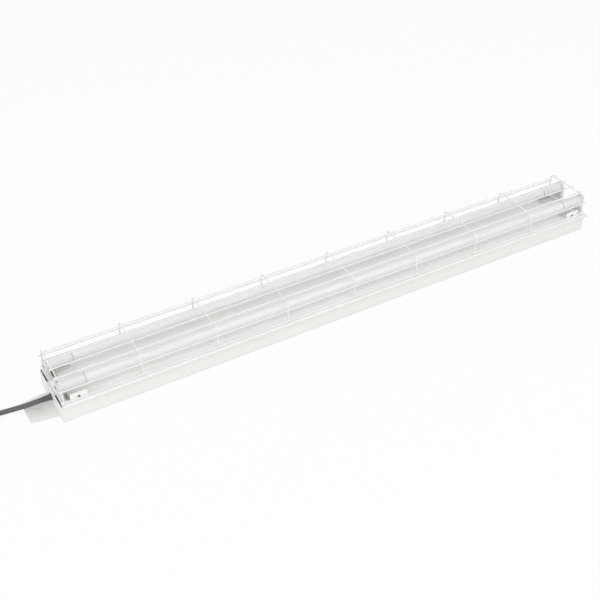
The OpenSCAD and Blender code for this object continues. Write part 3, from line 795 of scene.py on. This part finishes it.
@dataclass
class Flex:
    """Rubber flex, its stored coil, the tie and the plug.

    Attributes:
        diameter: Diameter of the flex.
        sleeve: Length of the sleeve outside the end plate.
        route: Points between the sleeve and the coil in millimetres, X counted from the end plate.
        coil_middle: Middle of the coil in millimetres, counted the same way.
        coil_from: Angle in degrees at which the coil starts.
        inward: Turns that wind inwards before the flex climbs.
        climb: Turns over which it climbs.
        full_turns: Whole turns of the coil before its last part.
        outer: Radius of the outermost turn.
        pitch: Distance between neighbouring turns and layers.
        lie: Height of the lower layer.
        run: Length from the coil to the plug.
        plug_r: Radius of the plug.
        plug_len: Length of the plug.
        pin_r: Radius of a plug pin.
        pin_len: Length of a plug pin.
        pin_pitch: Distance between the plug pins.
        turn_steps: Points in one turn of the coil.
    """

    diameter: float = FLEX_D
    sleeve: float = SLEEVE
    route: tuple[tuple[float, float, float], ...] = (
        (-22, 4, 20), (-36, 4, 20), (-54, 6, 18), (-74, 11, 15), (-94, 17, 11.5),
        (-114, 22.5, 8.6), (-134, 27.6, 6.9), (-154, 32.4, 6.3), (-176, 37.7, 6.3),
    )
    coil_middle: Pair = (-232, -24)
    coil_from: float = 73.0
    inward: float = 1.9
    climb: float = 0.5
    full_turns: int = 4
    outer: float = 74 * MM
    pitch: float = 12.1 * MM
    lie: float = 6.3 * MM
    run: float = 30 * MM
    plug_r: float = 18 * MM
    plug_len: float = 62 * MM
    pin_r: float = 2.4 * MM
    pin_len: float = 19 * MM
    pin_pitch: float = 19 * MM
    turn_steps: int = 48

    def plate(self) -> float:
        """X of the end plate's outer face, a sleeve's length inside the sleeve's tip."""
        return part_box("grommet")[0].x + self.sleeve

    def turns(self) -> float:
        """Number of turns of the coil, which ends pointing along -Y."""
        return self.full_turns + (180.0 - self.coil_from) / 360.0

    def coil_point(self, turn: float) -> Vector:
        """Centre of the flex after some turns of the coil.

        Args:
            turn: Number of turns from the coil's start.

        Returns:
            The point.
        """
        back = self.inward + self.climb / 2
        radius = self.outer - self.pitch * (turn if turn < back else 2 * back - turn)
        angle = math.radians(self.coil_from + 360.0 * turn)
        height = self.lie + self.pitch * min(1.0, max(0.0, (turn - self.inward) / self.climb))
        x, y = (value * MM for value in self.coil_middle)
        return Vector((self.plate() + x + radius * math.cos(angle), y + radius * math.sin(angle), height))

    def plug_rear(self) -> Vector:
        """Finds where the flex enters the plug, with the plug lying on the surface.

        Returns:
            The point.
        """
        last = self.coil_point(self.turns()) + Vector((0.0, -self.diameter - self.run, 0.0))
        last.z = self.plug_r + 0.1 * MM
        return last

    def path(self) -> list[Vector]:
        """Whole centre line of the flex outside the sleeve.

        Returns:
            Points along it, a few millimetres apart.
        """
        plate = self.plate()
        knots = [Vector((plate + x * MM, y * MM, z * MM)) for x, y, z in self.route]
        first = self.coil_point(0.0)
        lead = math.radians(self.coil_from)
        knots.append(first + self.diameter * Vector((math.sin(lead), -math.cos(lead), 0.0)))
        rings = round(self.turns() * self.turn_steps)
        coil = [self.coil_point(self.turns() * ring / rings) for ring in range(rings + 1)]
        stop = coil[-1] + Vector((0.0, -self.diameter, 0.0))
        rear = self.plug_rear()
        rise = rear.z - stop.z
        tail = [
            stop + Vector((0.0, -self.run * share, rise * lift))
            for share, lift in ((0.0, 0.0), (0.2, 0.0), (0.5, 0.5), (0.8, 1.0), (1.0, 1.0))
        ]
        return self._smooth([*knots, coil[0]])[:-1] + coil + self._smooth(tail)

    @staticmethod
    def _smooth(knots: Sequence[Vector], steps: int = 6) -> list[Vector]:
        """Runs a Catmull-Rom curve through points.

        Args:
            knots: Points to pass through.
            steps: Pieces between two of them.

        Returns:
            Points of the curve.
        """
        line = []
        for index in range(len(knots) - 1):
            before = knots[max(index - 1, 0)]
            start, stop = knots[index], knots[index + 1]
            after = knots[min(index + 2, len(knots) - 1)]
            for step in range(steps):
                share = step / steps
                line.append(
                    0.5 * (
                        2 * start
                        + (stop - before) * share
                        + (2 * before - 5 * start + 4 * stop - after) * share ** 2
                        + (3 * start - before - 3 * stop + after) * share ** 3
                    )
                )
        line.append(knots[-1].copy())
        return line

    def cable(self) -> float:
        """Returns:
            Its length in metres.
        """
        line = self.path()
        data = bpy.data.curves.new("flex", "CURVE")
        data.dimensions = "3D"
        data.bevel_depth = self.diameter / 2
        data.bevel_resolution = 6
        data.use_fill_caps = True
        spline = data.splines.new("POLY")
        spline.points.add(len(line) - 1)
        for point, place in zip(spline.points, line):
            point.co = (*place, 1.0)
        spline.use_smooth = True
        data.materials.append(BLACK_RUBBER.material())
        flex = linked("flex", data)
        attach(flex, "base")
        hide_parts("cord", "cord_coil", "cord_end")
        length = sum((b - a).length for a, b in zip(line, line[1:]))
        return length

    def plug(self) -> bpy.types.Object:
        """Makes the rubber plug with a ribbed neck and a fluted grip.

        Returns:
            The plug's body.
        """
        neck = self.diameter / 2 + 1.5 * MM
        waist = self.plug_r - 6 * MM
        grip_from, grip_to = self.plug_len - 22 * MM, self.plug_len
        ribs, rib_step, taper = 6, 3.2 * MM, 2 * MM
        rib_shape = ((0.0, 0.0), (0.4, 0.9), (1.2, 0.9), (1.6, 0.0))
        flutes, flute_t = 24, 0.5 * MM
        profile = [(0.0, neck - 0.8 * MM), (0.6 * MM, neck)]
        for rib in range(ribs):
            start = 1.4 * MM + rib * rib_step
            swell = neck + taper * rib / ribs
            for offset, drop in rib_shape:
                profile.append((start + offset * MM, swell - drop * MM))
        profile += [
            (self.plug_len - 40 * MM, neck + taper),
            (self.plug_len - 38.5 * MM, waist - 1.5 * MM),
            (self.plug_len - 37 * MM, waist),
            (self.plug_len - 27 * MM, waist + 1 * MM),
            (grip_from - 2 * MM, self.plug_r - 2 * MM),
            (grip_from, self.plug_r - 0.5 * MM),
            (grip_from + 2 * MM, self.plug_r),
            (grip_to - 3 * MM, self.plug_r),
            (grip_to - 1 * MM, self.plug_r - 0.5 * MM),
            (grip_to - 0.3 * MM, self.plug_r - 1.5 * MM),
            (grip_to, self.plug_r - 3 * MM),
        ]

        def flute(angle: float, distance: float) -> float:
            """Depth of the finger flutes, which are deepest half way along the grip.

            Args:
                angle: Angle round the plug.
                distance: Distance from the plug's rear.

            Returns:
                The depth there.
            """
            share = (distance - grip_from) / (grip_to - grip_from)
            if not 0.0 < share < 1.0:
                return 0.0
            return flute_t * math.sin(math.pi * share) * (0.5 - 0.5 * math.cos(flutes * angle))

        body = Solid().lathe(profile, self.plug_rear(), Vector((0.0, -1.0, 0.0)), sides=144, flute=flute)
        piece = body.piece("flex_plug", BLACK_RUBBER, "base", "black_rubber", crease=50.0)
        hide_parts("plug_body")
        return piece

    def plug_pins(self) -> bpy.types.Object:
        """Makes the two round pins with domed tips.

        Returns:
            The pins.
        """
        face = self.plug_rear() + Vector((0.0, -self.plug_len, 0.0))
        root, tip = 0.2 * MM, 1.2 * MM
        profile = [
            (-root, self.pin_r), (self.pin_len - tip, self.pin_r),
            (self.pin_len - 0.5 * tip, self.pin_r - 0.25 * tip),
            (self.pin_len - 0.15 * tip, self.pin_r * 0.6), (self.pin_len, self.pin_r * 0.35),
        ]
        pins = Solid()
        for side in (-1, 1):
            origin = face + Vector((side * self.pin_pitch / 2, 0.0, 0.0))
            pins.lathe(profile, origin, Vector((0.0, -1.0, 0.0)), sides=32)
        piece = pins.piece("flex_plug_pins", BRASS, "base", "brass")
        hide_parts("plug_pins")
        return piece

    def build(self) -> None:
        """Builds the flex and all that is on it."""
        plug = self.plug()
        pins = self.plug_pins()
        tie = softened("coil_tie", DARK_PLASTIC, "base", "dark_plastic", Rounding(0.12 * MM))
        length = self.cable()
        LOG.info("flex of %.3f m with its plug, pins and tie", length)


@dataclass
class Housing:
    """Folded steel: body, end plates, tray and saddle plates.

    Attributes:
        edge: Radius of a cut edge after coating.
        bend: Radius of a folded edge.
        sheet: Thickness of the steel.
        pan_wall: Wall of the pans under the windows.
        pan_rim: Width of their rims.
        openings: First X, last X and depth of the pans.
        opening_y: Distances of the openings' edges from the middle of the tray.
        tab_x: Middles of the guard tabs at the left and right end.
        tab_face: Distance of the tabs' inner faces from the middle of the tray.
        tab_hole: Radius of the hole in a guard tab.
        tab_rise: Height of that hole over the tray.
    """

    openings: dict[str, tuple[float, float, float]] = field(
        default_factory=lambda: {
            "window_left": (-714.2 * MM, -704.6 * MM, 14.0 * MM),
            "tab_left": (-702.4 * MM, -666.9 * MM, 2.4 * MM),
            "window_right": (722.6 * MM, 771.4 * MM, 5.0 * MM),
        }
    )
    opening_y: Pair = (30.6 * MM, 63.4 * MM)
    tab_x: Pair = (-686.8 * MM, 744.0 * MM)
    tab_face: float = 63.0 * MM
    tab_hole: float = 3.0 * MM
    tab_rise: float = 7.0 * MM
    edge: float = 0.3 * MM
    bend: float = 1.6 * MM
    sheet: float = SHEET
    pan_wall: float = 0.6 * MM
    pan_rim: float = 0.4 * MM

    def pan(self, name: str, low: Pair, high: Pair, under: float, depth: float) -> None:
        """Makes a moulded pan under one opening of the tray, which keeps the wiring off it.

        Args:
            name: Name of the piece.
            low: Lowest X and Y of its hollow.
            high: Highest X and Y of its hollow.
            under: Height of the tray's under side.
            depth: Depth of its hollow.
        """
        middle_at = ((low[0] + high[0]) / 2, (low[1] + high[1]) / 2)
        half = ((high[0] - low[0]) / 2, (high[1] - low[1]) / 2)
        corner, least, steps = 2 * MM, 0.2 * MM, 4
        floor = under - depth
        soft, play = 0.3 * MM, 0.05 * MM

        def ring(grow: float, z: float) -> list[Vector]:
            """Draws a rounded rectangle round the hollow.

            Args:
                grow: How far it lies outside the hollow.
                z: Its height.

            Returns:
                Its points.
            """
            reach = (half[0] + grow, half[1] + grow)
            round_r = max(corner + grow, least)
            points = []
            for quarter, (sx, sy) in enumerate(((1, 1), (-1, 1), (-1, -1), (1, -1))):
                for step in range(steps + 1):
                    angle = math.pi / 2 * (quarter + step / steps)
                    points.append(
                        Vector((
                            middle_at[0] + sx * (reach[0] - round_r) + round_r * math.cos(angle),
                            middle_at[1] + sy * (reach[1] - round_r) + round_r * math.sin(angle),
                            z,
                        ))
                    )
            return points

        wall, rim, top = self.pan_wall, self.pan_wall + self.pan_rim, under - play
        shell = Solid().rings([
            ring(wall - soft, floor - wall), ring(wall, floor - wall + soft), ring(wall, top - wall),
            ring(rim - soft, top - wall), ring(rim, top - wall + soft), ring(rim, top - soft),
            ring(rim - soft, top), ring(soft, top), ring(0.0, top - soft), ring(0.0, floor + 2 * soft),
            ring(-2 * soft, floor),
        ])
        # The pan takes the tray's painted light.
        shell.piece(name, TRAY_LIGHT, "base", "white_plastic")

    def pans(self) -> None:
        """Pans under the wiring windows and the tab holes of the four corners."""
        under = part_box("saddle_left")[0].z - self.sheet
        for row, side in ROWS.items():
            ys = sorted((side * self.opening_y[0], side * self.opening_y[1]))
            for place, (first, last, depth) in self.openings.items():
                self.pan(f"{place}_pan_{row}", (first, ys[0]), (last, ys[1]), under, depth)

    def catch(self) -> None:
        """Tab folded from the left end plate that the tray hooks under, in the middle of their gap."""
        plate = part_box("body_channel")[0].x
        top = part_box("body_channel")[1].z
        half, drop, reach = 26 * MM, 4 * MM, 2.8 * MM
        upper, fold, soft, inner_fold = top - 0.5 * MM, 0.4 * MM, 0.3 * MM, 0.2 * MM
        outline = [
            (0.0, top - drop), (0.0, upper - fold), (fold, upper), (reach - soft, upper),
            (reach, upper - soft), (reach, upper - self.sheet),
            (self.sheet, upper - self.sheet - inner_fold), (self.sheet, top - drop),
        ]
        rings = [[Vector((plate + x, side * half, z)) for x, z in outline] for side in (-1, 1)]
        Solid().rings(rings).piece("tray_catch", WHITE_POWDER, "base", "white_paint")

    def shade_seals(self) -> None:
        """Black foam strips on the body's flanges, which stand as painted shade in the gap beside the left
        end plate.
        """
        plate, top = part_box("body_channel")[0].x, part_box("body_channel")[1].z
        first, last = 0.1 * MM, 2.7 * MM
        inner, outer = 52 * MM, 70.4 * MM
        play, thick, soft = 0.02 * MM, 0.45 * MM, 0.15 * MM
        outline = [
            (first, play), (last, play), (last, thick - soft), (last - soft, thick),
            (first + soft, thick), (first, thick - soft),
        ]
        for row, side in ROWS.items():
            rings = [[Vector((plate + x, side * y, top + z)) for x, z in outline] for y in (inner, outer)]
            # Painted shade: the black strip stands for the shadow in the gap.
            Solid().rings(rings).piece(f"gap_shade_strip_{row}", BLACK_RUBBER, "base", "black_rubber")

    def shade_bushes(self) -> None:
        """Dark rubber bush in the hole of each guard tab, which stands for the shade inside the hole."""
        tray_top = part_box("saddle_left")[0].z
        soft, bore, lip, play = 0.2 * MM, 1.3 * MM, 0.4 * MM, 0.02 * MM
        flange = self.tab_hole + 0.25 * MM
        far = self.sheet + 0.3 * MM
        profile = [
            (-lip, bore), (-lip, flange - soft), (-lip + soft, flange), (-play, flange),
            (-play, self.tab_hole), (far - soft, self.tab_hole), (far, self.tab_hole - soft), (far, bore),
        ]
        for row, side in ROWS.items():
            for end, x in zip(OUTWARD, self.tab_x):
                outer = Vector((x, side * (self.tab_face + self.sheet), tray_top + self.tab_rise))
                bush = Solid().lathe(profile, outer, Vector((0.0, -side, 0.0)), sides=40, hollow=True)
                # Painted shade: the dark bush stands for the shade in the tab's hole.
                bush.piece(f"tab_shade_bush_{row}_{end}", BLACK_RUBBER, "base", "black_rubber")

    def body(self) -> None:
        """Body channel and end plates, in white powder outside, with painted shade on the faces inside."""
        low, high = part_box("body_channel")
        slack, wall, rim = 0.1 * self.sheet, 0.9 * self.sheet, 0.5 * self.sheet

        def inside(at: Vector, normal: Vector) -> bool:
            """True for a face between the walls and between the end plates, which gets painted shade."""
            between_plates = low.x - slack < at.x < high.x + slack
            return between_plates and abs(at.y) < high.y - wall and wall < at.z < high.z - rim

        rounding = Rounding(self.edge, inside=inside)
        for node in ("body_channel", "end_plate_left", "end_plate_right"):
            softened(node, WHITE_POWDER, "base", "white_paint", rounding, INNER_SHADE)

    def tray(self) -> None:
        """Tray with folded lips, windows and guard tabs, whose top is painted brighter than the body's
        powder as painted light, and whose lips keep the body's powder.
        """
        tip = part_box("gear_tray")[1]
        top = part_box("saddle_left")[0].z
        margin, close = tip.y - 3 * MM, 0.05 * MM
        length, width, downward, upright = 1.0, 0.1, -0.9, 0.7

        def bend_at(at: Vector, along: Vector) -> bool:
            """Finds the long top edges over the lips and the one at the right end.

            Args:
                at: Middle of an edge.
                along: The way from its start to its end.

            Returns:
                True for those edges.
            """
            long_edge = abs(abs(at.y) - tip.y) < close and abs(along.x) > length
            end_edge = abs(at.x - tip.x) < close and abs(along.y) > width
            return abs(at.z - top) < close and (long_edge or end_edge)

        def inside(at: Vector, normal: Vector) -> bool:
            """True for the under side between the lips, which gets painted shade."""
            under = abs(at.z - (top - self.sheet)) < 2 * close
            return under and normal.z < downward and abs(at.y) < margin

        def lip(at: Vector, normal: Vector) -> bool:
            """True for the upright faces of the folded lips, below the tray's top."""
            return at.z < top and abs(normal.z) < upright and abs(at.y) > margin

        softened(
            "gear_tray", TRAY_LIGHT, "base", "white_paint",
            Rounding(self.edge, self.bend, bend_at=bend_at, inside=inside, lip=lip),
            INNER_SHADE, WHITE_POWDER,
        )
        # Saddle plates in the brighter plastic of painted light.
        for node in ("saddle_left", "saddle_right"):
            softened(node, SADDLE_LIGHT, "base", "white_plastic", Rounding(0.35 * MM))

    def build(self) -> None:
        """Builds all the folded steel."""
        self.body()
        self.tray()
        self.pans()
        self.catch()
        self.shade_seals()
        self.shade_bushes()
        LOG.info("body, end plates, tray, catch, seals, bushes, window pans and saddle plates")


@dataclass
class Lampholders:
    """Four lampholders with turning contact rotors.

    Attributes:
        edge: Radius of the moulded edges.
        ring_r: Mean radius of the raised ring round the spindle.
        ring_w: Width of that ring.
        ring_t: How far the ring stands out.
        knob_r: Radius of the knob on the spindle's end.
        knob_t: Thickness of that knob.
        bar_w: Width of the bar across it, which shows how the rotor stands.
        bar_t: Height of that bar.
    """

    edge: float = 0.8 * MM
    ring_r: float = 5.2 * MM
    ring_w: float = 1.6 * MM
    ring_t: float = 0.5 * MM
    knob_r: float = 3.9 * MM
    knob_t: float = 0.6 * MM
    bar_w: float = 1.4 * MM
    bar_t: float = 0.5 * MM

    def housing(self, row: str, end: str) -> None:
        """Moulded housing with a ring round the spindle on its outer face.

        Args:
            row: Row of the lamp, near or far.
            end: End of the light, left or right.
        """
        node = f"lampholder_{row}_{end}"
        softened(node, WHITE_PLASTIC, "base", "white_plastic", Rounding(self.edge, steps=3))
        face = end_face(node, end, f"tube_{row}")
        inner, outer = self.ring_r - self.ring_w / 2, self.ring_r + self.ring_w / 2
        root, soft = 0.1 * MM, 0.15 * MM
        profile = [
            (-root, inner), (-root, outer), (self.ring_t - soft, outer), (self.ring_t, outer - soft),
            (self.ring_t, inner + soft), (self.ring_t - soft, inner),
        ]
        ring = Solid().lathe(profile, face, OUTWARD[end], sides=64, hollow=True)
        ring.piece(f"spindle_ring_{row}_{end}", WHITE_PLASTIC, "base", "white_plastic")

    def rotor(self, row: str, end: str) -> None:
        """Contact rotor, which turns with its lamp.

        Args:
            row: Row of the lamp, near or far.
            end: End of the light, left or right.
        """
        node = f"rotor_{row}_{end}"
        soft, play = 0.2 * MM, 0.02 * MM
        softened(node, DARK_PLASTIC, f"{row}_lamp", "dark_plastic", Rounding(soft))
        face = end_face(node, end, f"tube_{row}")
        profile = [
            (play, self.knob_r), (self.knob_t - soft, self.knob_r), (self.knob_t, self.knob_r - soft),
        ]
        knob = Solid().lathe(profile, face, OUTWARD[end], sides=48)
        length = self.knob_r - 0.6 * MM
        rings = []
        for rise, inset in ((self.knob_t - soft, 0.0), (self.knob_t + self.bar_t, soft)):
            x = face.x + OUTWARD[end].x * rise
            half = self.bar_w / 2 - inset
            reach = length - inset
            rings.append([
                Vector((x, face.y + y, face.z + z))
                for y, z in ((-half, -reach), (half, -reach), (half, reach), (-half, reach))
            ])
        knob.rings(rings)
        knob.piece(f"rotor_knob_{row}_{end}", DARK_PLASTIC, f"{row}_lamp", "dark_plastic")

    def build(self) -> None:
        """Builds the four lampholders and their rotors."""
        for row, end in CORNERS:
            self.housing(row, end)
            self.rotor(row, end)
        LOG.info("four lampholders with rotors")


@dataclass
class Lamps:
    """Two opal tubes with end caps, pins and boards.

    Attributes:
        sides: Number of sides of a tube.
        wall: Wall of a tube.
        cap_face: Thickness of a cap's face, and radius of its middle.
        cap_round: Radius of a cap's outer edge.
        play: Play between a cap and its tube.
        grooves: Distances of the two grooves in a cap from its outer and inner end.
        groove_w: Width of those grooves.
        groove_t: Depth of those grooves.
        pin_len: Length of a contact pin.
        sleeve_len: Length of the sealing sleeve behind a cap at each end.
        seam_w: Width of the dark ring of painted shade at the sleeve's end.
    """

    sides: int = 128
    wall: float = 1.2 * MM
    cap_face: float = 2 * MM
    cap_round: float = 1.2 * MM
    play: float = 0.1 * MM
    grooves: Pair = (6 * MM, 5 * MM)
    groove_w: float = 0.8 * MM
    groove_t: float = 0.25 * MM
    pin_len: float = 6.4 * MM
    sleeve_len: dict[str, float] = field(default_factory=lambda: {"left": 5 * MM, "right": 11 * MM})
    seam_w: float = 2.4 * MM

    def tube(self, row: str) -> None:
        """Opal tube.

        Args:
            row: Row of the lamp, near or far.
        """
        node = f"tube_{row}"
        low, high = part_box(node)
        radius, length, steps = radius_of(node), high.x - low.x, 60
        outer = [(length * step / steps, radius) for step in range(steps + 1)]
        inner = [(length, radius - self.wall), (0.0, radius - self.wall)]
        start = end_face(node, "left", node)
        shell = Solid().lathe(outer + inner, start, OUTWARD["right"], self.sides, hollow=True)
        piece = shell.piece(f"opal_tube_{row}", OPAL, f"{row}_lamp", "opal_tube")
        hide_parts(node)

    def cap(self, row: str, end: str) -> None:
        """End cap with a rounded face, two grooves and a soft lip against the tube.

        Args:
            row: Row of the lamp, near or far.
            end: End of the light, left or right.
        """
        node = f"cap_{row}_{end}"
        low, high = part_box(node)
        face, inward = end_face(node, end, node), -OUTWARD[end]
        radius, length = radius_of(node), high.x - low.x
        bore = radius_of(f"tube_{row}") + self.play
        core, round_r, steps = self.cap_face, self.cap_round, 4
        soft, lip, chamfer = 0.15 * MM, 0.4 * MM, 0.12 * MM
        outer = [(0.0, core)]
        for step in range(steps + 1):
            angle = math.pi / 2 * step / steps
            outer.append((round_r * (1 - math.cos(angle)), radius - round_r * (1 - math.sin(angle))))
        for at in (self.grooves[0], length - self.grooves[1]):
            stop, floor = at + self.groove_w, radius - self.groove_t
            outer += [(at, radius), (at + soft, floor), (stop, floor), (stop + soft, radius)]
        outer += [(length - lip, radius), (length - chamfer, radius - chamfer), (length, radius - lip)]
        inner = [(length, bore), (core, bore), (core, core)]
        shell = Solid().lathe(outer + inner, face, inward, self.sides, hollow=True)
        shell.lathe([(0.0, core), (core, core)], face, inward, self.sides)
        piece = shell.piece(f"end_cap_{row}_{end}", CAP_PLASTIC, f"{row}_lamp", "cap_plastic")
        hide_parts(node)
        self.sleeve(row, end, face, length, radius, bore)

    def sleeve(self, row: str, end: str, face: Vector, start: float, radius: float, bore: float) -> None:
        """Sealing sleeve shrunk onto the tube behind a cap, and a dark ring of painted shade at its end,
        standing for the shadow at the seam.

        Args:
            row: Row of the lamp, near or far.
            end: End of the light, left or right.
            face: Middle of the cap's outer face.
            start: Length of the cap.
            radius: Radius of the cap.
            bore: Radius of the tube with its play.
        """
        inward = -OUTWARD[end]
        root, stop = start + 0.1 * MM, start + self.sleeve_len[end]
        skin, soft = radius - 0.05 * MM, 0.2 * MM
        profile = [
            (root, bore), (root, skin - soft), (start + soft, skin), (stop - soft, skin),
            (stop, skin - soft), (stop, bore),
        ]
        sleeve = Solid().lathe(profile, face, inward, self.sides, hollow=True)
        sleeve.piece(f"cap_sleeve_{row}_{end}", CAP_PLASTIC, f"{row}_lamp", "cap_plastic")
        # Dark ring of painted shade where the sleeve meets the tube.
        crest, slope, seat = bore + 0.3 * MM, 0.1 * MM, bore - 0.08 * MM
        profile = [
            (stop - soft, bore), (stop - soft, crest), (stop + self.seam_w - soft, crest - slope),
            (stop + self.seam_w, seat), (stop, seat),
        ]
        seam_shade = Solid().lathe(profile, face, inward, self.sides, hollow=True)
        seam_shade.piece(f"cap_seam_shade_{row}_{end}", SEAM_SHADE, f"{row}_lamp", "cap_plastic")

    def pins(self, row: str) -> None:
        """Contact pins with domed tips.

        Args:
            row: Row of the lamp, near or far.
        """
        node = f"pins_{row}"
        low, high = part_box(node)
        height = middle(node).z
        radius, length = radius_of(node), self.pin_len
        profile = [
            (0.0, radius), (length - 0.8 * MM, radius), (length - 0.3 * MM, radius * 0.8),
            (length, radius * 0.35),
        ]
        pins = Solid()
        for y in (low.y + radius, high.y - radius):
            pins.lathe(profile, Vector((low.x + length, y, height)), OUTWARD["left"], sides=24)
            pins.lathe(profile, Vector((high.x - length, y, height)), OUTWARD["right"], sides=24)
        piece = pins.piece(f"contact_pins_{row}", BRASS, f"{row}_lamp", "brass")
        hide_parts(node)

    def build(self) -> None:
        """Builds both lamps."""
        for row in ROWS:
            self.tube(row)
            self.pins(row)
            softened(f"board_{row}", BOARD_WHITE, f"{row}_lamp", "board_white", Rounding(0.1 * MM, steps=1))
        for row, end in CORNERS:
            self.cap(row, end)
        LOG.info("two lamps with caps, pins and boards")


@dataclass
class Guard:
    """Welded wire guard.

    Attributes:
        wire_r: Radius of the wires.
        bend: Radius of the hoops' bends, to the wire's centre.
        inner_half: Half the distance between the two inner top wires.
        sides: Number of sides of a wire.
        hoops: Number of hoops.
        weld_r: Half the width of a drop of weld metal.
        weld_t: Half its thickness.
    """

    wire_r: float = 1.5 * MM
    bend: float = 10 * MM
    inner_half: float = 16.3 * MM
    sides: int = 20
    hoops: int = 9
    weld_r: float = 2.0 * MM
    weld_t: float = 1.1 * MM

    def hoop(self, number: int) -> Vector:
        """Bends one hoop from a single wire.

        Args:
            number: Number of the hoop, from 1.

        Returns:
            The middle of its top wire.
        """
        node = f"guard_hoop_{number}"
        low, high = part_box(node)
        x = (low.x + high.x) / 2
        half = high.y - self.wire_r
        top = high.z - self.wire_r
        path = [Vector((x, -half, low.z)), Vector((x, -half, (low.z + top) / 2))]
        steps = 12
        for side, start in ((-1, 180.0), (1, 90.0)):
            for step in range(steps + 1):
                angle = math.radians(start - 90.0 * step / steps)
                path.append(
                    Vector((
                        x,
                        side * (half - self.bend) + self.bend * math.cos(angle),
                        top - self.bend + self.bend * math.sin(angle),
                    ))
                )
        path += [Vector((x, half, (low.z + top) / 2)), Vector((x, half, low.z))]
        wire = Solid().sweep(path, self.wire_r, self.sides)
        piece = wire.piece(f"hoop_wire_{number}", WIRE_POWDER, "guard", "white_wire", crease=60.0)
        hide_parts(node)
        return Vector((x, 0.0, top))

    def long_wires(self, node: str, name: str, places: Sequence[Pair]) -> None:
        """Lays straight wires along the light.

        Args:
            node: Node that they stand for.
            name: Name of the piece.
            places: Y and Z of each wire.
        """
        low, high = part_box(node)
        wires = Solid()
        steps = 40
        for y, z in places:
            path = [Vector((low.x + (high.x - low.x) * step / steps, y, z)) for step in range(steps + 1)]
            wires.sweep(path, self.wire_r, self.sides)
        piece = wires.piece(name, WIRE_POWDER, "guard", "white_wire", crease=60.0)
        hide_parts(node)

    def build(self) -> None:
        """Builds the hoops, the long wires and a weld at every crossing."""
        tops = [self.hoop(number) for number in range(1, self.hoops + 1)]
        low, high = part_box("guard_top_wires")
        top_z = (low.z + high.z) / 2
        outer_half = high.y - self.wire_r
        top_ys = [side * half for side in (-1, 1) for half in (self.inner_half, outer_half)]
        self.long_wires("guard_top_wires", "top_wires", [(y, top_z) for y in top_ys])
        welds = Solid()
        upright = Vector((self.weld_r, self.weld_t, self.weld_r))
        flat = Vector((self.weld_r, self.weld_r, self.weld_t))
        for row, side in ROWS.items():
            node = f"guard_side_wires_{row}"
            low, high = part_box(node)
            y = (low.y + high.y) / 2
            zs = (low.z + self.wire_r, high.z - self.wire_r)
            self.long_wires(node, f"side_wires_{row}", [(y, z) for z in zs])
            for top in tops:
                for z in zs:
                    welds.blob(Vector((top.x, y - side * self.wire_r, z)), upright)
        for top in tops:
            for y in top_ys:
                welds.blob(Vector((top.x, y, top_z - self.wire_r)), flat)
        welds.piece("guard_welds", WIRE_POWDER, "guard", "white_wire", crease=80.0)
        LOG.info("guard of %d hoops and 8 long wires", self.hoops)


@dataclass
class Wiring:
    """Grommet, clamp, terminal block, earth stud and leads.

    Attributes:
        cable_r: Radius of the flex.
        sleeve: Length of the sleeve outside the end plate.
        rims: Thickness of the grommet's rims.
        sheet: Thickness of the end plate.
    """

    cable_r: float = FLEX_D / 2
    sleeve: float = SLEEVE
    rims: float = 1.8 * MM
    sheet: float = SHEET

    def grommet(self) -> None:
        """Rubber grommet with a ribbed, tapered sleeve."""
        tip = end_face("grommet", "left", "grommet")
        rim_r = radius_of("grommet")
        neck_r = rim_r - 1.5 * MM
        bore = self.cable_r + 0.05 * MM
        plate = Vector((tip.x + self.sleeve, tip.y, tip.z))
        soft = 0.4 * MM
        inner = -self.sheet - self.rims
        profile = [
            (inner, bore), (inner, rim_r - soft), (inner + soft, rim_r), (-self.sheet, rim_r),
            (-self.sheet, neck_r), (0.0, neck_r), (0.0, rim_r), (self.rims - soft, rim_r),
            (self.rims, rim_r - soft), (self.rims, neck_r),
        ]
        tip_r = bore + 0.5 * MM
        ribs, rib_shape = 6, ((0.0, 0.0), (0.12, 0.55), (0.45, 0.55), (0.57, 0.0))
        start, stop = self.rims + 1 * MM, self.sleeve - 1.5 * MM
        for rib in range(ribs):
            at = start + (stop - start) * rib / ribs
            width = (stop - start) / ribs
            for share, drop in rib_shape:
                distance = at + width * share
                taper = neck_r + (tip_r - neck_r) * (distance - self.rims) / (self.sleeve - self.rims)
                profile.append((distance, max(taper - drop * MM, bore + 0.15 * MM)))
        profile += [(self.sleeve - 0.3 * MM, tip_r), (self.sleeve, tip_r - 0.2 * MM), (self.sleeve, bore)]
        sleeve = Solid().lathe(profile, plate, OUTWARD["left"], sides=72, hollow=True)
        piece = sleeve.piece("flex_grommet", BLACK_RUBBER, "base", "black_rubber", crease=50.0)
        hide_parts("grommet")

    def build(self) -> None:
        """Builds the grommet and dresses what lies inside the body."""
        self.grommet()
        inner = {
            "cable_tail": (BLACK_RUBBER, "black_rubber", 0.3),
            "clamp_base": (WHITE_PLASTIC, "white_plastic", 0.4),
            "clamp_bar": (WHITE_PLASTIC, "white_plastic", 0.4),
            "clamp_screws": (PLATED_STEEL, "plated_steel", 0.2),
            "terminal_block": (WHITE_PLASTIC, "white_plastic", 0.3),
            "terminal_screws": (BRASS, "brass", 0.15),
            "earth_stud": (BRASS, "brass", 0.2),
            "earth_nut": (BRASS, "brass", 0.2),
            "earth_lead": (LEAD_PVC, "lead_insulation", 0.05),
            "cores": (LEAD_PVC, "lead_insulation", 0.05),
            "lamp_leads": (LEAD_PVC, "lead_insulation", 0.05),
        }
        for node, (finish, slot, edge) in inner.items():
            softened(node, finish, "base", slot, Rounding(edge * MM))
        LOG.info("grommet and %d inner pieces", len(inner))


def main() -> None:
    """Builds the studio and every sub-assembly in order."""
    logging.basicConfig(level=logging.INFO, format="%(name)s: %(message)s")
    for part in (Studio(), Flex(), Housing(), Lampholders(), Lamps(), Guard(), Wiring()):
        part.build()


if __name__ == "__main__":
    main()
